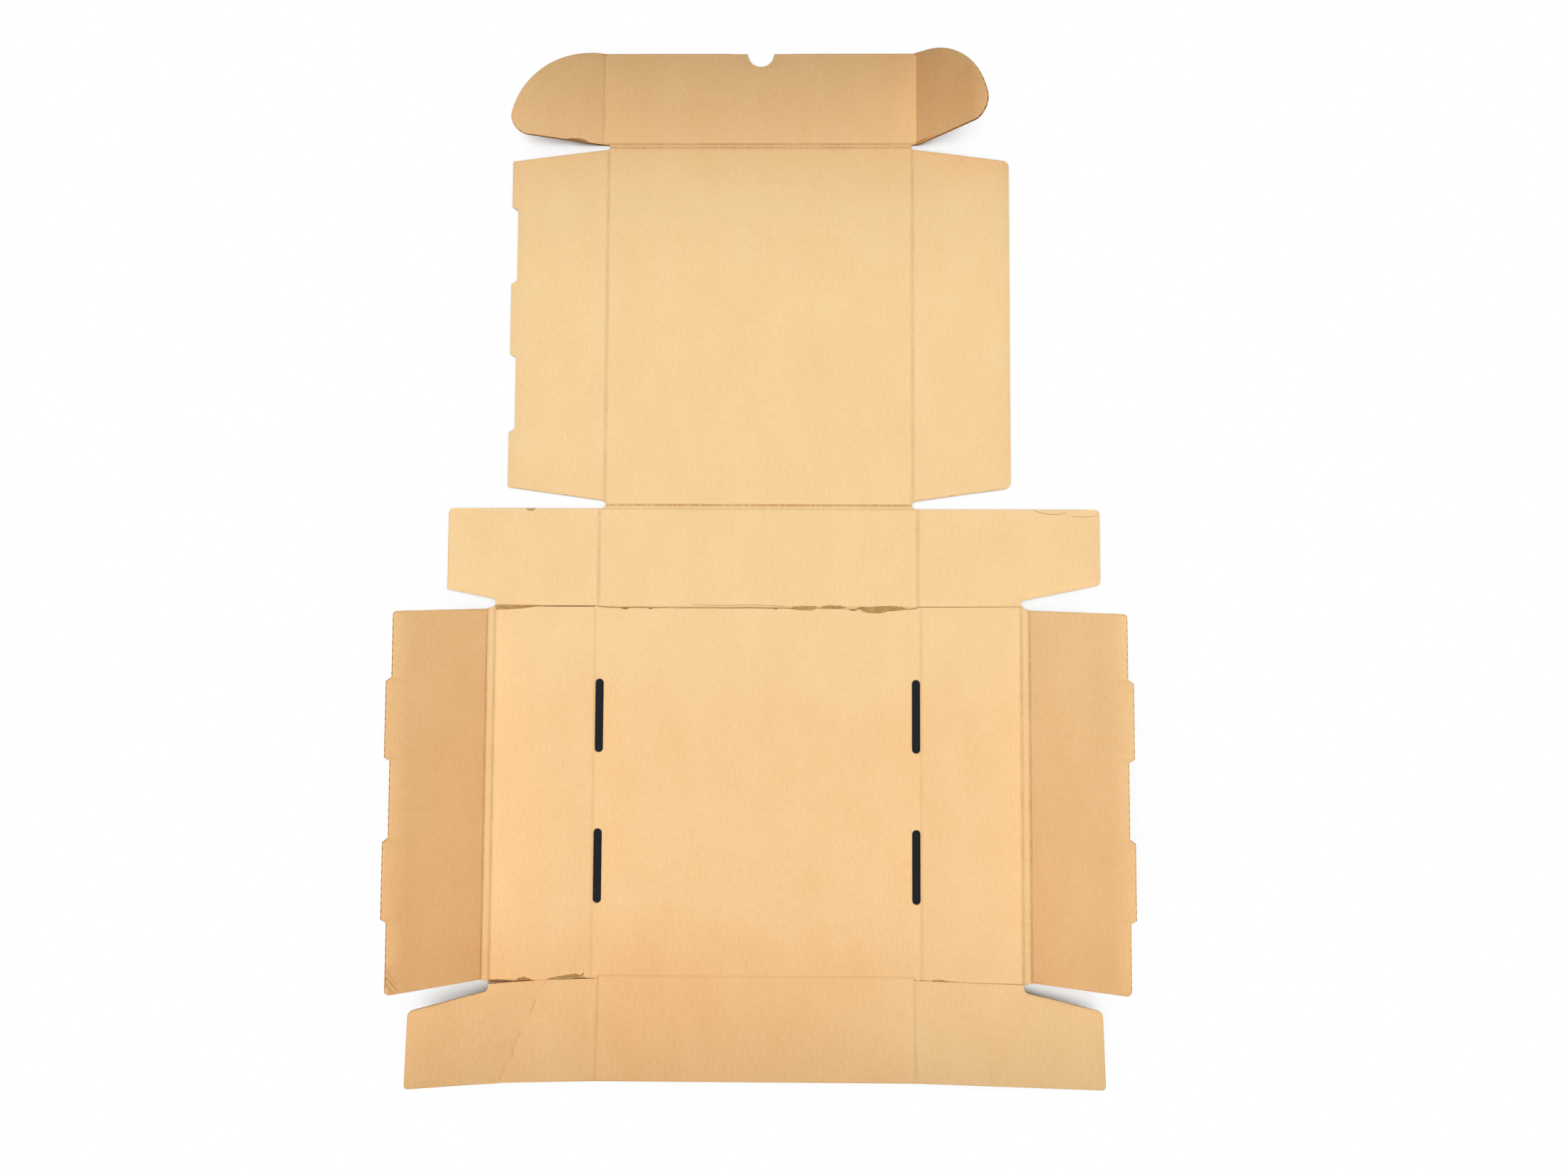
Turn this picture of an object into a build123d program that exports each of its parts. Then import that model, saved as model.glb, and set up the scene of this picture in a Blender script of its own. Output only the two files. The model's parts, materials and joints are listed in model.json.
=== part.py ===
from build123d import *
from dataclasses import dataclass
from math import ceil, cos, floor, radians, sin, tan
import os

# A tuck-front mailer box of single-wall corrugated board, laid open and flat with its
# inside facing up. It was folded once, so some of its flaps spring back up at their creases.
# Origin: the middle of the base panel, on its underside.
# +X runs along the flutes, +Y from the base to the lid, +Z up out of the inside face.

# Board, and the width that a cutting rule leaves between two flaps
board_thickness = 3.0
slit_width = 0.7

# Flutes between the board's two liners, open where a cut edge runs across them
liner_thickness = 0.35
medium_thickness = 0.2
flute_pitch = 6.5
flute_tip_width = 0.7
flute_mouth_depth = 6.0

# Size of the box that the blank folds into
base_width = 301.5
base_length = 336.0
wall_height = 91.0

# Widths of the other panels, narrower at each side so that they nest inside one another
back_side_inset = 2.75
front_side_inset = 6.75
lid_side_inset = 7.25
tuck_side_inset = 1.75

# Depths of the other panels, longer or shorter so that they wrap or clear their neighbours
back_allowance = 2.5
lid_allowance = 8.0
front_allowance = 0.3
tuck_clearance = 1.5

# Side walls that roll over: wall, double crease, inner flap with two locking tabs
rollover_width = 8.0
inner_flap_clearance = 0.7
inner_flap_back_inset = 3.2
inner_flap_back_taper = 4.7
inner_flap_front_inset = 2.0
inner_flap_front_taper = 2.6
inner_flap_corner_radius = 4.2
tab_clearance = 2.5
tab_height = 5.0
tab_shoulder = 3.5
tab_corner_radius = 1.2

# Slots in the base that the locking tabs drop into
slot_length = 67.5
slot_width = 7.7
slot_spacing = 137.0
slot_row_shift = 0.7
slot_to_crease = 0.9

# Lid wings. The left one is cut around the tabs of the next blank on the sheet.
wing_back_angle = 8.0
wing_front_angle = 7.2
wing_corner_radius = 6.0
recess_end_clearance = 1.5
recess_depth_clearance = 0.6
recess_shoulder = 3.0
recess_spread = 4.0
recess_row_shift = 5.5

# Dust flaps, which meet halfway along the side walls. The left back one is trimmed short.
back_dust_extra = 0.5
back_dust_left_trim = 27.5
back_dust_angle = 11.5
back_dust_corner_radius = 4.5
front_dust_clearance = 2.0
front_dust_angle = 12.3
front_dust_top_radius = 6.0
front_dust_bottom_radius = 3.5

# Ears of the tuck flap, and the thumb notch between them
ear_reach = 86.0
ear_shoulder = 8.0
ear_sweep_radius = 92.0
ear_tip_height = 20.5
ear_tip_run = 17.0
thumb_notch_radius = 12.5

# Slits between the side walls and the dust flaps, measured out from the base creases, and
# the nick that still ties the left front one
back_slit_offset = 1.0
front_slit_offset = 3.0
front_slit_angle = 0.8
nick_start = 40.2
nick_length = 11.6

# Round ends of the notches between flaps, and how far they bite into the creased panels
tuck_notch_radius = 2.3
lid_notch_radius = 3.8
back_notch_radius = 3.4
front_notch_radius = 4.5
notch_bite = 1.1
tuck_notch_setback = 1.4
lid_notch_setback = 2.0
side_notch_overrun = 4.7

# How far each panel has sprung back up from flat, in degrees
wall_rise = 7.0
left_rollover_rise = 25.0
right_rollover_rise = 20.0
left_inner_flap_rise = 44.0
right_inner_flap_rise = 34.0
front_rise = 7.0
left_front_dust_rise = 6.0
right_front_dust_rise = 7.0
left_ear_rise = 20.0
right_ear_rise = 49.0

# The left front dust flap has a second bend, slanting from its slit to its free edge
kink_reach_at_slit = 47.0
kink_reach_at_edge = 85.0
kink_rise = 12.4

# Creases pressed into the inside face: a round groove, and a wide flat one at the lid's ends
crease_depth = 0.6
crease_radius = 2.2
wide_crease_width = 3.7
wide_crease_floor = 2.7
wide_crease_depth = 0.7

# Long patches where the inside liner is torn off. Each has the distance of its middle from
# the blank's middle line, how far that lies in from the crease, slit or edge, length, width
torn_depth = 0.45
back_crease_tears = [(43.1, 0.7, 24.0, 5.2), (67.0, -1.0, 26.0, 3.2), (113.5, 1.3, 45.0, 5.8)]
right_back_dust_tears = [(271.5, 0.6, 31.5, 6.4), (302.0, 3.4, 26.0, 4.4)]
left_wall_back_tears = [(236.0, 0.4, 64.0, 8.0)]
left_wall_front_tears = [(231.0, 0.5, 21.0, 3.0), (209.8, 0.3, 14.0, 4.6), (174.5, 0.2, 33.0, 7.2)]
right_wall_front_tears = [(172.8, 0.2, 25.6, 3.6)]

# Sizes that follow from these
back_width = base_width - 2 * back_side_inset
front_width = base_width - 2 * front_side_inset
lid_width = base_width - 2 * lid_side_inset
tuck_width = base_width - 2 * tuck_side_inset
front_depth = wall_height + front_allowance
tuck_depth = wall_height - tuck_clearance
inner_flap_depth = wall_height - inner_flap_clearance
wing_depth = wall_height
tab_length = slot_length - tab_clearance
back_dust_reach = base_length / 2 + back_dust_extra
front_dust_reach = base_length / 2 - front_dust_clearance

# Lines of the layout along Y, outwards from the two creases of the base
back_line = base_length / 2
front_line = -base_length / 2
lid_line = back_line + wall_height + back_allowance
tuck_line = lid_line + base_length + lid_allowance
tuck_edge = tuck_line + tuck_depth
wall_back_end = back_line + back_slit_offset - slit_width / 2
wall_front_end = front_line - front_slit_offset + slit_width / 2
back_dust_start = back_line + back_slit_offset + slit_width / 2
front_dust_start = front_slit_offset + slit_width / 2
wall_front_corner = wall_front_end - wall_height * tan(radians(front_slit_angle))
side_notch_x = base_width / 2 + wall_height + side_notch_overrun
slot_rows = (-slot_row_shift - slot_spacing / 2, -slot_row_shift + slot_spacing / 2)

LEFT, RIGHT = -1, 1
SIDES = (LEFT, RIGHT)


@dataclass
class Notch:
    """The gap between two flaps: a round end, and an edge above and below tangent to it."""

    x: float
    y: float
    radius: float
    upper_angle: float = 0.0
    lower_angle: float = 0.0

    def upper(self, x):
        """Height of the upper edge at a distance x from the middle line."""
        angle = radians(self.upper_angle)
        return self.y + self.radius / cos(angle) + (x - self.x) * tan(angle)

    def lower(self, x):
        """Height of the lower edge at a distance x from the middle line."""
        angle = radians(self.lower_angle)
        return self.y - self.radius / cos(angle) - (x - self.x) * tan(angle)


tuck_notch = Notch(
    x=lid_width / 2 - notch_bite + tuck_notch_radius,
    y=tuck_line - tuck_notch_setback,
    radius=tuck_notch_radius,
    lower_angle=wing_front_angle,
)
lid_notch = Notch(
    x=lid_width / 2 - notch_bite + lid_notch_radius,
    y=lid_line + lid_notch_setback,
    radius=lid_notch_radius,
    upper_angle=wing_back_angle,
)
back_notch = Notch(
    x=side_notch_x,
    y=wall_back_end + back_notch_radius,
    radius=back_notch_radius,
    upper_angle=back_dust_angle,
)
front_notch = Notch(
    x=side_notch_x,
    y=wall_front_end - front_notch_radius,
    radius=front_notch_radius,
    lower_angle=front_dust_angle,
)


def cut_out(plane, side, points, radii=0.0):
    """Outline on a plane, mirrored to its side. One corner radius serves each point or all."""
    with BuildSketch(plane) as outline:
        with BuildLine():
            FilletPolyline(*[(side * x, y) for x, y in points], radius=radii, close=True)
        make_face()
    return outline.sketch


def both_sides(points):
    """The right half of an outline, from bottom to top, followed by its mirror image."""
    return points + [(-x, y) for x, y in reversed(points)]


def tab_profile(edge, height, centre, tip_length, shoulder):
    """Four points that step out from an edge to a tab, or into it where height is negative."""
    half = tip_length / 2
    return [
        (edge, centre - half - shoulder),
        (edge + height, centre - half),
        (edge + height, centre + half),
        (edge, centre + half + shoulder),
    ]


def base_outline():
    """Base panel, with the four corner ends that carry the side walls past its creases."""
    half = base_width / 2
    back_inner = back_width / 2 + slit_width
    front_inner = front_width / 2 + slit_width
    right = [
        (front_inner, front_line),
        (front_inner, wall_front_end),
        (half, wall_front_end),
        (half, wall_back_end),
        (back_inner, wall_back_end),
        (back_inner, back_line),
    ]
    return cut_out(Plane.XY, RIGHT, both_sides(right))


def back_outline():
    """Back panel, carried on under the lid as far as the round ends of the notches."""
    half = back_width / 2
    shoulder = lid_notch.lower(half)
    right = [
        (half, back_line),
        (half, shoulder),
        (lid_notch.x, shoulder),
        (lid_notch.x, lid_line),
    ]
    return cut_out(Plane.XY, RIGHT, both_sides(right))


def lid_outline():
    """Lid panel from the back crease to the tuck crease."""
    half = lid_width / 2
    return cut_out(Plane.XY, RIGHT, both_sides([(half, lid_line), (half, tuck_line)]))


def tuck_outline():
    """Tuck flap without its ears."""
    half = tuck_width / 2
    shoulder = tuck_notch.upper(half)
    right = [
        (tuck_notch.x, tuck_line),
        (tuck_notch.x, shoulder),
        (half, shoulder),
        (half, tuck_edge),
    ]
    return cut_out(Plane.XY, RIGHT, both_sides(right))


def wing_outline(side):
    """Lid wing: round-cornered on the right, square with two recesses on the left."""
    crease = lid_width / 2
    edge = crease + wing_depth
    inner = [(crease, tuck_notch.lower(crease)), (crease, lid_notch.upper(crease))]
    bottom = (edge, lid_notch.upper(edge))
    top = (edge, tuck_notch.lower(edge))
    if side == RIGHT:
        radii = [0, 0, wing_corner_radius, wing_corner_radius]
        return cut_out(Plane.XY, side, [*inner, bottom, top], radii)
    middle = (lid_line + tuck_line) / 2 + recess_row_shift
    half_spacing = (slot_spacing + recess_spread) / 2
    depth = tab_height + recess_depth_clearance
    length = tab_length + 2 * recess_end_clearance
    recesses = []
    for centre in (middle - half_spacing, middle + half_spacing):
        recesses += tab_profile(edge, -depth, centre, length, recess_shoulder)
    return cut_out(Plane.XY, side, [*inner, bottom, *recesses, top])


def back_dust_outline(side):
    """Back panel's dust flap. The left one is cut off short and square."""
    crease = back_width / 2
    edge = crease + back_dust_reach
    bottom_radius = back_dust_corner_radius
    if side == LEFT:
        edge -= back_dust_left_trim
        bottom_radius = 0
    top = lid_notch.lower(crease)
    points = [
        (crease, back_dust_start),
        (back_notch.x, back_dust_start),
        (back_notch.x, back_notch.upper(back_notch.x)),
        (edge, back_notch.upper(edge)),
        (edge, top),
        (crease, top),
    ]
    return cut_out(Plane.XY, side, points, [0, 0, 0, bottom_radius, back_dust_corner_radius, 0])


def ear_outline(plane, side):
    """Ear of the tuck flap: a long sweep over the top, a tight round tip, a straight bottom."""
    bottom = tuck_notch.upper(tuck_width / 2)
    with BuildSketch(plane) as outline:
        with BuildLine():
            top = Line((0, tuck_edge), (side * ear_shoulder, tuck_edge))
            tip_start = (side * ear_reach, bottom + ear_tip_height)
            tip_end = (side * (ear_reach - ear_tip_run), bottom)
            sweep = RadiusArc(top @ 1, tip_start, side * ear_sweep_radius)
            tip = TangentArc(sweep @ 1, tip_end, tangent=sweep % 1)
            Polyline(tip @ 1, (0, bottom), top @ 0)
        make_face()
    return outline.sketch


def wall_outline(plane, side):
    """Outer side wall of the box."""
    points = [
        (0, wall_front_end),
        (wall_height, wall_front_corner),
        (wall_height, wall_back_end),
        (0, wall_back_end),
    ]
    return cut_out(plane, side, points)


def rollover_outline(plane, side):
    """Strip between the two creases where the side wall rolls over."""
    points = [
        (0, wall_front_corner),
        (rollover_width, wall_front_end + inner_flap_front_inset),
        (rollover_width, wall_back_end - inner_flap_back_inset),
        (0, wall_back_end),
    ]
    return cut_out(plane, side, points)


def inner_flap_outline(plane, side):
    """Inner flap, tapered at both ends, with its two locking tabs."""
    back = wall_back_end - inner_flap_back_inset
    front = wall_front_end + inner_flap_front_inset
    tabs = []
    for row in slot_rows:
        tabs += tab_profile(inner_flap_depth, tab_height, row, tab_length, tab_shoulder)
    points = [
        (0, back),
        (0, front),
        (inner_flap_depth, front + inner_flap_front_taper),
        *tabs,
        (inner_flap_depth, back - inner_flap_back_taper),
    ]
    tab_radii = [0, tab_corner_radius, tab_corner_radius, 0] * len(slot_rows)
    radii = [0, 0, inner_flap_corner_radius, *tab_radii, inner_flap_corner_radius]
    return cut_out(plane, side, points, radii)


def front_dust_outline(plane, side):
    """Front panel's dust flap, from its crease. Local Y runs back towards the base."""
    notch_reach = front_notch.x - front_width / 2
    slit_end = front_dust_start + notch_reach * tan(radians(front_slit_angle))
    edge_start = front_notch.lower(front_notch.x) - front_line
    edge_end = front_notch.lower(front_width / 2 + front_dust_reach) - front_line
    points = [
        (0, -front_dust_start),
        (notch_reach, -slit_end),
        (notch_reach, edge_start),
        (front_dust_reach, edge_end),
        (front_dust_reach, -front_depth),
        (0, -front_depth),
    ]
    return cut_out(
        plane, side, points, [0, 0, 0, front_dust_top_radius, front_dust_bottom_radius, 0]
    )


def hinged_plane(side, crease, rise):
    """Plane of a panel that rises away from the middle line about a crease along Y."""
    angle = radians(rise)
    return Plane(
        origin=crease,
        x_dir=(cos(angle), 0, side * sin(angle)),
        z_dir=(-side * sin(angle), 0, cos(angle)),
    )


def side_wall_planes(side):
    """Planes of a wall, its roll-over strip and its inner flap, each hinged on the last."""
    rollover_rise = right_rollover_rise if side == RIGHT else left_rollover_rise
    inner_flap_rise = right_inner_flap_rise if side == RIGHT else left_inner_flap_rise
    wall = hinged_plane(side, (side * base_width / 2, 0, 0), wall_rise)
    wall_top = wall.from_local_coords((side * wall_height, 0, 0))
    rollover = hinged_plane(side, wall_top, rollover_rise)
    rollover_end = rollover.from_local_coords((side * rollover_width, 0, 0))
    return wall, rollover, hinged_plane(side, rollover_end, inner_flap_rise)


def ear_plane(side):
    """Plane of an ear, hinged on the end of the tuck flap."""
    rise = right_ear_rise if side == RIGHT else left_ear_rise
    return hinged_plane(side, (side * tuck_width / 2, 0, 0), rise)


front_angle = radians(front_rise)
front_plane = Plane(
    origin=(0, front_line, 0), x_dir=(1, 0, 0), z_dir=(0, sin(front_angle), cos(front_angle))
)


def front_dust_plane(side):
    """Plane of a front dust flap, hinged on the end of the raised front panel."""
    rise = right_front_dust_rise if side == RIGHT else left_front_dust_rise
    crease = Axis(front_plane.from_local_coords((side * front_width / 2, 0, 0)), front_plane.y_dir)
    hinged = Plane(crease.position, x_dir=front_plane.x_dir, z_dir=front_plane.z_dir)
    return Plane(
        origin=crease.position,
        x_dir=Vector(hinged.x_dir).rotate(crease, -side * rise),
        z_dir=Vector(hinged.z_dir).rotate(crease, -side * rise),
    )


def torn_patches(plane, places):
    """Shallow oval recesses in the inside face, each given by its centre, length and width."""
    with BuildPart() as patches:
        with BuildSketch(plane.offset(board_thickness)):
            for x, y, length, width in places:
                with Locations((x, y)):
                    Ellipse(length / 2, width / 2)
        extrude(amount=-torn_depth)
    return patches.part


def flute_mouths(plane, side, inner, outer, start, end, datum=0.0):
    """Channels of the flutes where they open in a panel's outer edge, above and below the medium.

    They run along the panel from inner to outer, at the flutes between two heights on the
    flat blank. The datum is the height on the flat blank of the plane's own origin."""
    mouth_plane = Plane(
        origin=plane.from_local_coords((side * inner, 0, 0)),
        x_dir=side * plane.y_dir,
        z_dir=side * plane.x_dir,
    )
    flutes = range(ceil(start / flute_pitch + 0.5), floor(end / flute_pitch - 0.5) + 1)
    below = [(side * (flute * flute_pitch - datum), 0) for flute in flutes]
    above = [(side * ((flute + 0.5) * flute_pitch - datum), 0) for flute in flutes[:-1]]
    half = (flute_pitch - flute_tip_width) / 2
    depth = board_thickness - 2 * liner_thickness - medium_thickness
    channel = [(-half, liner_thickness), (half, liner_thickness), (0, liner_thickness + depth)]
    with BuildPart() as mouths:
        with BuildSketch(mouth_plane):
            with Locations(*below):
                Polygon(*channel)
            with Locations(*above):
                Polygon(*[(x, board_thickness - y) for x, y in channel])
        extrude(amount=outer - inner)
    return mouths.part


def wall_tears(side):
    """Torn patches at both ends of a side wall: centre on the wall's plane, length and width."""
    crease = base_width / 2
    back = left_wall_back_tears if side == LEFT else []
    front = left_wall_front_tears if side == LEFT else right_wall_front_tears
    places = [(side * (x - crease), wall_back_end - setback, *size) for x, setback, *size in back]
    for x, setback, *size in front:
        end = wall_front_end - (x - crease) * tan(radians(front_slit_angle))
        places.append((side * (x - crease), end + setback, *size))
    return places


def side_wall(side):
    """Outer side wall, with its roll-over strip and inner flap, sprung up at their creases."""
    wall, rollover, inner_flap = side_wall_planes(side)
    flap_start = wall_front_end + inner_flap_front_inset + inner_flap_front_taper
    flap_end = wall_back_end - inner_flap_back_inset - inner_flap_back_taper
    with BuildPart() as walls:
        extrude(wall_outline(wall, side), amount=board_thickness)
        add(torn_patches(wall, wall_tears(side)), mode=Mode.SUBTRACT)
        extrude(rollover_outline(rollover, side), amount=board_thickness)
        extrude(inner_flap_outline(inner_flap, side), amount=board_thickness)
        mouths = flute_mouths(
            inner_flap,
            side,
            inner_flap_depth - flute_mouth_depth,
            inner_flap_depth + tab_height + slit_width,
            flap_start + inner_flap_corner_radius,
            flap_end - inner_flap_corner_radius,
        )
        add(mouths, mode=Mode.SUBTRACT)
    return walls.part


def front_dust_flap(side):
    """Front dust flap as a flat plate on its plane, with the round end of its notch."""
    plane = front_dust_plane(side)
    notch_centre = (side * (front_notch.x - front_width / 2), front_notch.y - front_line)
    mouths = flute_mouths(
        plane,
        side,
        front_dust_reach - flute_mouth_depth,
        front_dust_reach + slit_width,
        front_line - front_depth + front_dust_bottom_radius,
        front_notch.lower(front_width / 2 + front_dust_reach) - front_dust_top_radius,
        datum=front_line,
    )
    with BuildPart() as flap:
        extrude(front_dust_outline(plane, side), amount=board_thickness)
        with BuildSketch(plane):
            with Locations(notch_centre):
                Circle(front_notch.radius)
        extrude(amount=board_thickness, mode=Mode.SUBTRACT)
        add(mouths, mode=Mode.SUBTRACT)
    return flap.part


def nick():
    """Short tie of uncut board that still joins the left wall to the left front dust flap."""
    wall = side_wall_planes(LEFT)[0]
    past_slit = wall_front_corner - 3 * slit_width
    points = [
        (nick_start, wall_front_end + slit_width),
        (nick_start + nick_length, wall_front_end + slit_width),
        (nick_start + nick_length, past_slit),
        (nick_start, past_slit),
    ]
    return extrude(cut_out(wall, LEFT, points), amount=board_thickness)


def flat_flap_mouths(side):
    """Flute mouths in the outer edges of a lid wing and of a back dust flap."""
    wing_edge = lid_width / 2 + wing_depth
    wing_inner = wing_edge - flute_mouth_depth
    wing_radius = wing_corner_radius
    dust_edge = back_width / 2 + back_dust_reach
    dust_radius = back_dust_corner_radius
    if side == LEFT:
        wing_inner -= tab_height + recess_depth_clearance
        wing_radius = 0
        dust_edge -= back_dust_left_trim
        dust_radius = 0
    wing_start = lid_notch.upper(wing_edge) + wing_radius
    wing_end = tuck_notch.lower(wing_edge) - wing_radius
    dust_start = back_notch.upper(dust_edge) + dust_radius
    dust_end = lid_notch.lower(back_width / 2) - back_dust_corner_radius
    return [
        flute_mouths(Plane.XY, side, wing_inner, wing_edge + slit_width, wing_start, wing_end),
        flute_mouths(
            Plane.XY,
            side,
            dust_edge - flute_mouth_depth,
            dust_edge + slit_width,
            dust_start,
            dust_end,
        ),
    ]


def flat_tears():
    """Torn patches along the base's back crease and the right back dust flap's upper edge."""
    edge = lid_notch.lower(back_width / 2)
    places = [(x, back_line - setback, *size) for x, setback, *size in back_crease_tears]
    places += [(x, edge - setback, *size) for x, setback, *size in right_back_dust_tears]
    return torn_patches(Plane.XY, places)


def kinked_front_dust_flap():
    """Left front dust flap, cut along its second bend and the outer piece turned up."""
    plane = front_dust_plane(LEFT)
    start = plane.from_local_coords((LEFT * kink_reach_at_slit, -front_dust_start, 0))
    end = plane.from_local_coords((LEFT * kink_reach_at_edge, -front_depth, 0))
    bend = Axis(start, start - end)
    cut = Plane(origin=start, z_dir=bend.direction.cross(plane.z_dir))
    with BuildPart() as flap:
        add(front_dust_flap(LEFT))
        split(bisect_by=cut, keep=Keep.TOP)
        outer = split(front_dust_flap(LEFT), bisect_by=cut, keep=Keep.BOTTOM, mode=Mode.PRIVATE)
        add(outer.rotate(bend, kink_rise))
    return flap.part


def pressed_crease(lower, upper, start, end):
    """Groove over the crease on the upper plane's Y axis, between two heights on that axis."""
    normal = (lower.z_dir + upper.z_dir).normalized()
    half_fold = radians(lower.z_dir.get_angle(upper.z_dir) / 2)
    lift = board_thickness / cos(half_fold) + crease_radius - crease_depth
    centre = upper.from_local_coords((0, start, 0)) + normal * lift
    with BuildPart() as groove:
        with BuildSketch(Plane(origin=centre, z_dir=upper.y_dir)):
            Circle(crease_radius)
        extrude(amount=end - start)
    return groove.part


def wide_crease(y, half_length):
    """Flat-bottomed groove over the two close creases at one end of the lid."""
    end_plane = Plane(origin=(-half_length, y, board_thickness), x_dir=(0, 1, 0), z_dir=(1, 0, 0))
    section = both_sides([(wide_crease_floor / 2, -wide_crease_depth), (wide_crease_width / 2, 0)])
    with BuildPart() as groove:
        extrude(cut_out(end_plane, RIGHT, section), amount=2 * half_length)
    return groove.part


def creases():
    """Grooves of every crease."""
    across = Plane(origin=(0, back_line, 0), x_dir=(0, -1, 0), z_dir=(0, 0, 1))
    front_across = Plane(
        origin=front_plane.origin, x_dir=-front_plane.y_dir, z_dir=front_plane.z_dir
    )
    grooves = [
        pressed_crease(Plane.XY, across, -back_width / 2, back_width / 2),
        pressed_crease(Plane.XY, front_across, -front_width / 2, front_width / 2),
        wide_crease(lid_line, lid_notch.x),
        wide_crease(tuck_line, tuck_notch.x),
    ]
    for side in SIDES:
        wall, rollover, inner_flap = side_wall_planes(side)
        flap_front = wall_front_end + inner_flap_front_inset
        flap_back = wall_back_end - inner_flap_back_inset
        wing = hinged_plane(side, (side * lid_width / 2, 0, 0), 0)
        back_dust = hinged_plane(side, (side * back_width / 2, 0, 0), 0)
        front_dust = front_dust_plane(side)
        grooves += [
            pressed_crease(Plane.XY, wall, wall_front_end, wall_back_end),
            pressed_crease(wall, rollover, wall_front_end, wall_back_end),
            pressed_crease(rollover, inner_flap, flap_front, flap_back),
            pressed_crease(Plane.XY, wing, lid_notch.y, tuck_notch.y),
            pressed_crease(Plane.XY, back_dust, back_dust_start, lid_notch.y),
            pressed_crease(front_plane, front_dust, -front_depth, -front_dust_start),
            pressed_crease(Plane.XY, ear_plane(side), tuck_notch.y, tuck_edge),
        ]
    return grooves


# Panels and flaps that lie flat on what the blank rests on, with their notches and slots
with BuildSketch() as flat_layout:
    add(base_outline())
    add(back_outline())
    add(lid_outline())
    add(tuck_outline())
    for side in SIDES:
        add(wing_outline(side))
        add(back_dust_outline(side))
    with Locations((0, tuck_edge)):
        Circle(thumb_notch_radius, mode=Mode.SUBTRACT)
    for notch in (tuck_notch, lid_notch, back_notch):
        with Locations((-notch.x, notch.y), (notch.x, notch.y)):
            Circle(notch.radius, mode=Mode.SUBTRACT)
    slot_x = base_width / 2 - slot_to_crease - slot_width / 2
    with Locations(*[(side * slot_x, row) for side in SIDES for row in slot_rows]):
        SlotOverall(slot_length, slot_width, rotation=90, mode=Mode.SUBTRACT)

# The whole blank, one piece of board
with BuildPart() as mailer_blank:
    extrude(flat_layout.sketch, amount=board_thickness)
    for side in SIDES:
        add(side_wall(side))
        extrude(ear_outline(ear_plane(side), side), amount=board_thickness)
    front_panel = both_sides([(front_width / 2, -front_depth), (front_width / 2, 0)])
    extrude(cut_out(front_plane, RIGHT, front_panel), amount=board_thickness)
    add(front_dust_flap(RIGHT))
    add(kinked_front_dust_flap())
    add(nick())
    cuts = [*creases(), flat_tears(), *flat_flap_mouths(LEFT), *flat_flap_mouths(RIGHT)]
    add(cuts, mode=Mode.SUBTRACT)
mailer_blank.part.label = "mailer_blank"

os.makedirs("parts", exist_ok=True)
export_step(mailer_blank.part, "parts/mailer_blank.step")
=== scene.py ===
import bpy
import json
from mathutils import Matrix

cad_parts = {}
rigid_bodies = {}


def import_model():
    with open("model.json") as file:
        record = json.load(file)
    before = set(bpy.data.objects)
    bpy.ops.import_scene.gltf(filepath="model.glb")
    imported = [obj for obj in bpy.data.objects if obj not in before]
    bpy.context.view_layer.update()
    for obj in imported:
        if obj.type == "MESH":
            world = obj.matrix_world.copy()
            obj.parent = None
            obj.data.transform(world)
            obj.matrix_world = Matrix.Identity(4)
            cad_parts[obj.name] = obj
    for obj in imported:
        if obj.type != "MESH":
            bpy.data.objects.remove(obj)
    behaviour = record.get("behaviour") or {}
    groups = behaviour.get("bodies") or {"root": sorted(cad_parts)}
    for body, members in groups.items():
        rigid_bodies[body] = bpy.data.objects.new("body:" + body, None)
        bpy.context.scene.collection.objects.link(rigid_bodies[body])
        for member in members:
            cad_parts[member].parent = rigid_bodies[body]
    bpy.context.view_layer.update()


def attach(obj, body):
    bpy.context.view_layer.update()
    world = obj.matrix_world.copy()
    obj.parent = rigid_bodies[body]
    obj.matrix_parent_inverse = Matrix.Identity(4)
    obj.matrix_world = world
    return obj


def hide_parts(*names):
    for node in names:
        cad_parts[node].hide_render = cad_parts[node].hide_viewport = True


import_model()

import json
from math import atan2, cos, degrees, pi, radians, sin, sqrt, tan

import bpy
import numpy as np
from mathutils import Euler, Vector, geometry

# A used mailer box of single-wall corrugated board, opened out flat with its inside up.
# Lengths are in millimetres until a mesh is made, and the frame is the blank's own:
# origin at the middle of the base panel's underside, +X along the flutes, +Y to the lid.

MM = 0.001
PER_METRE = 1000
LEFT, RIGHT = -1, 1
SIDES = (LEFT, RIGHT)

# Board: two liners with a fluted medium between them
BOARD = 3.0
LINER = 0.32
MEDIUM = 0.26
FLUTE_PITCH = 6.5
FLUTE_SWING = (BOARD - 2 * LINER - MEDIUM) / 2
WASHBOARD = 0.022
BEND_RADIUS = 3.2
EDGE_CRUSH, EDGE_WIDTH = 0.9, 1.4

# Panels, named as on the packing drawing: half widths from the middle line, heights along Y
BASE_HALF, BACK_HALF, FRONT_HALF = 150.75, 148.0, 144.0
LID_HALF, TUCK_HALF = 143.5, 149.0
BACK_LINE, FRONT_LINE = 168.0, -168.0
LID_LINE, TUCK_LINE, TUCK_EDGE = 261.5, 605.5, 695.0
FRONT_PANEL = 91.3
FRONT_EDGE = FRONT_LINE - FRONT_PANEL
WALL_FRONT, WALL_BACK = -170.65, 168.65
SLIT = 0.25
WALL, ROLLOVER, INNER_FLAP = 91.0, 8.0, 90.3
WALL_TOP = BASE_HALF + WALL
FRONT_SLIT_ANGLE = 0.8
WALL_FRONT_CORNER = WALL_FRONT - WALL * tan(radians(FRONT_SLIT_ANGLE))
FLAP_START = WALL_TOP + ROLLOVER
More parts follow.
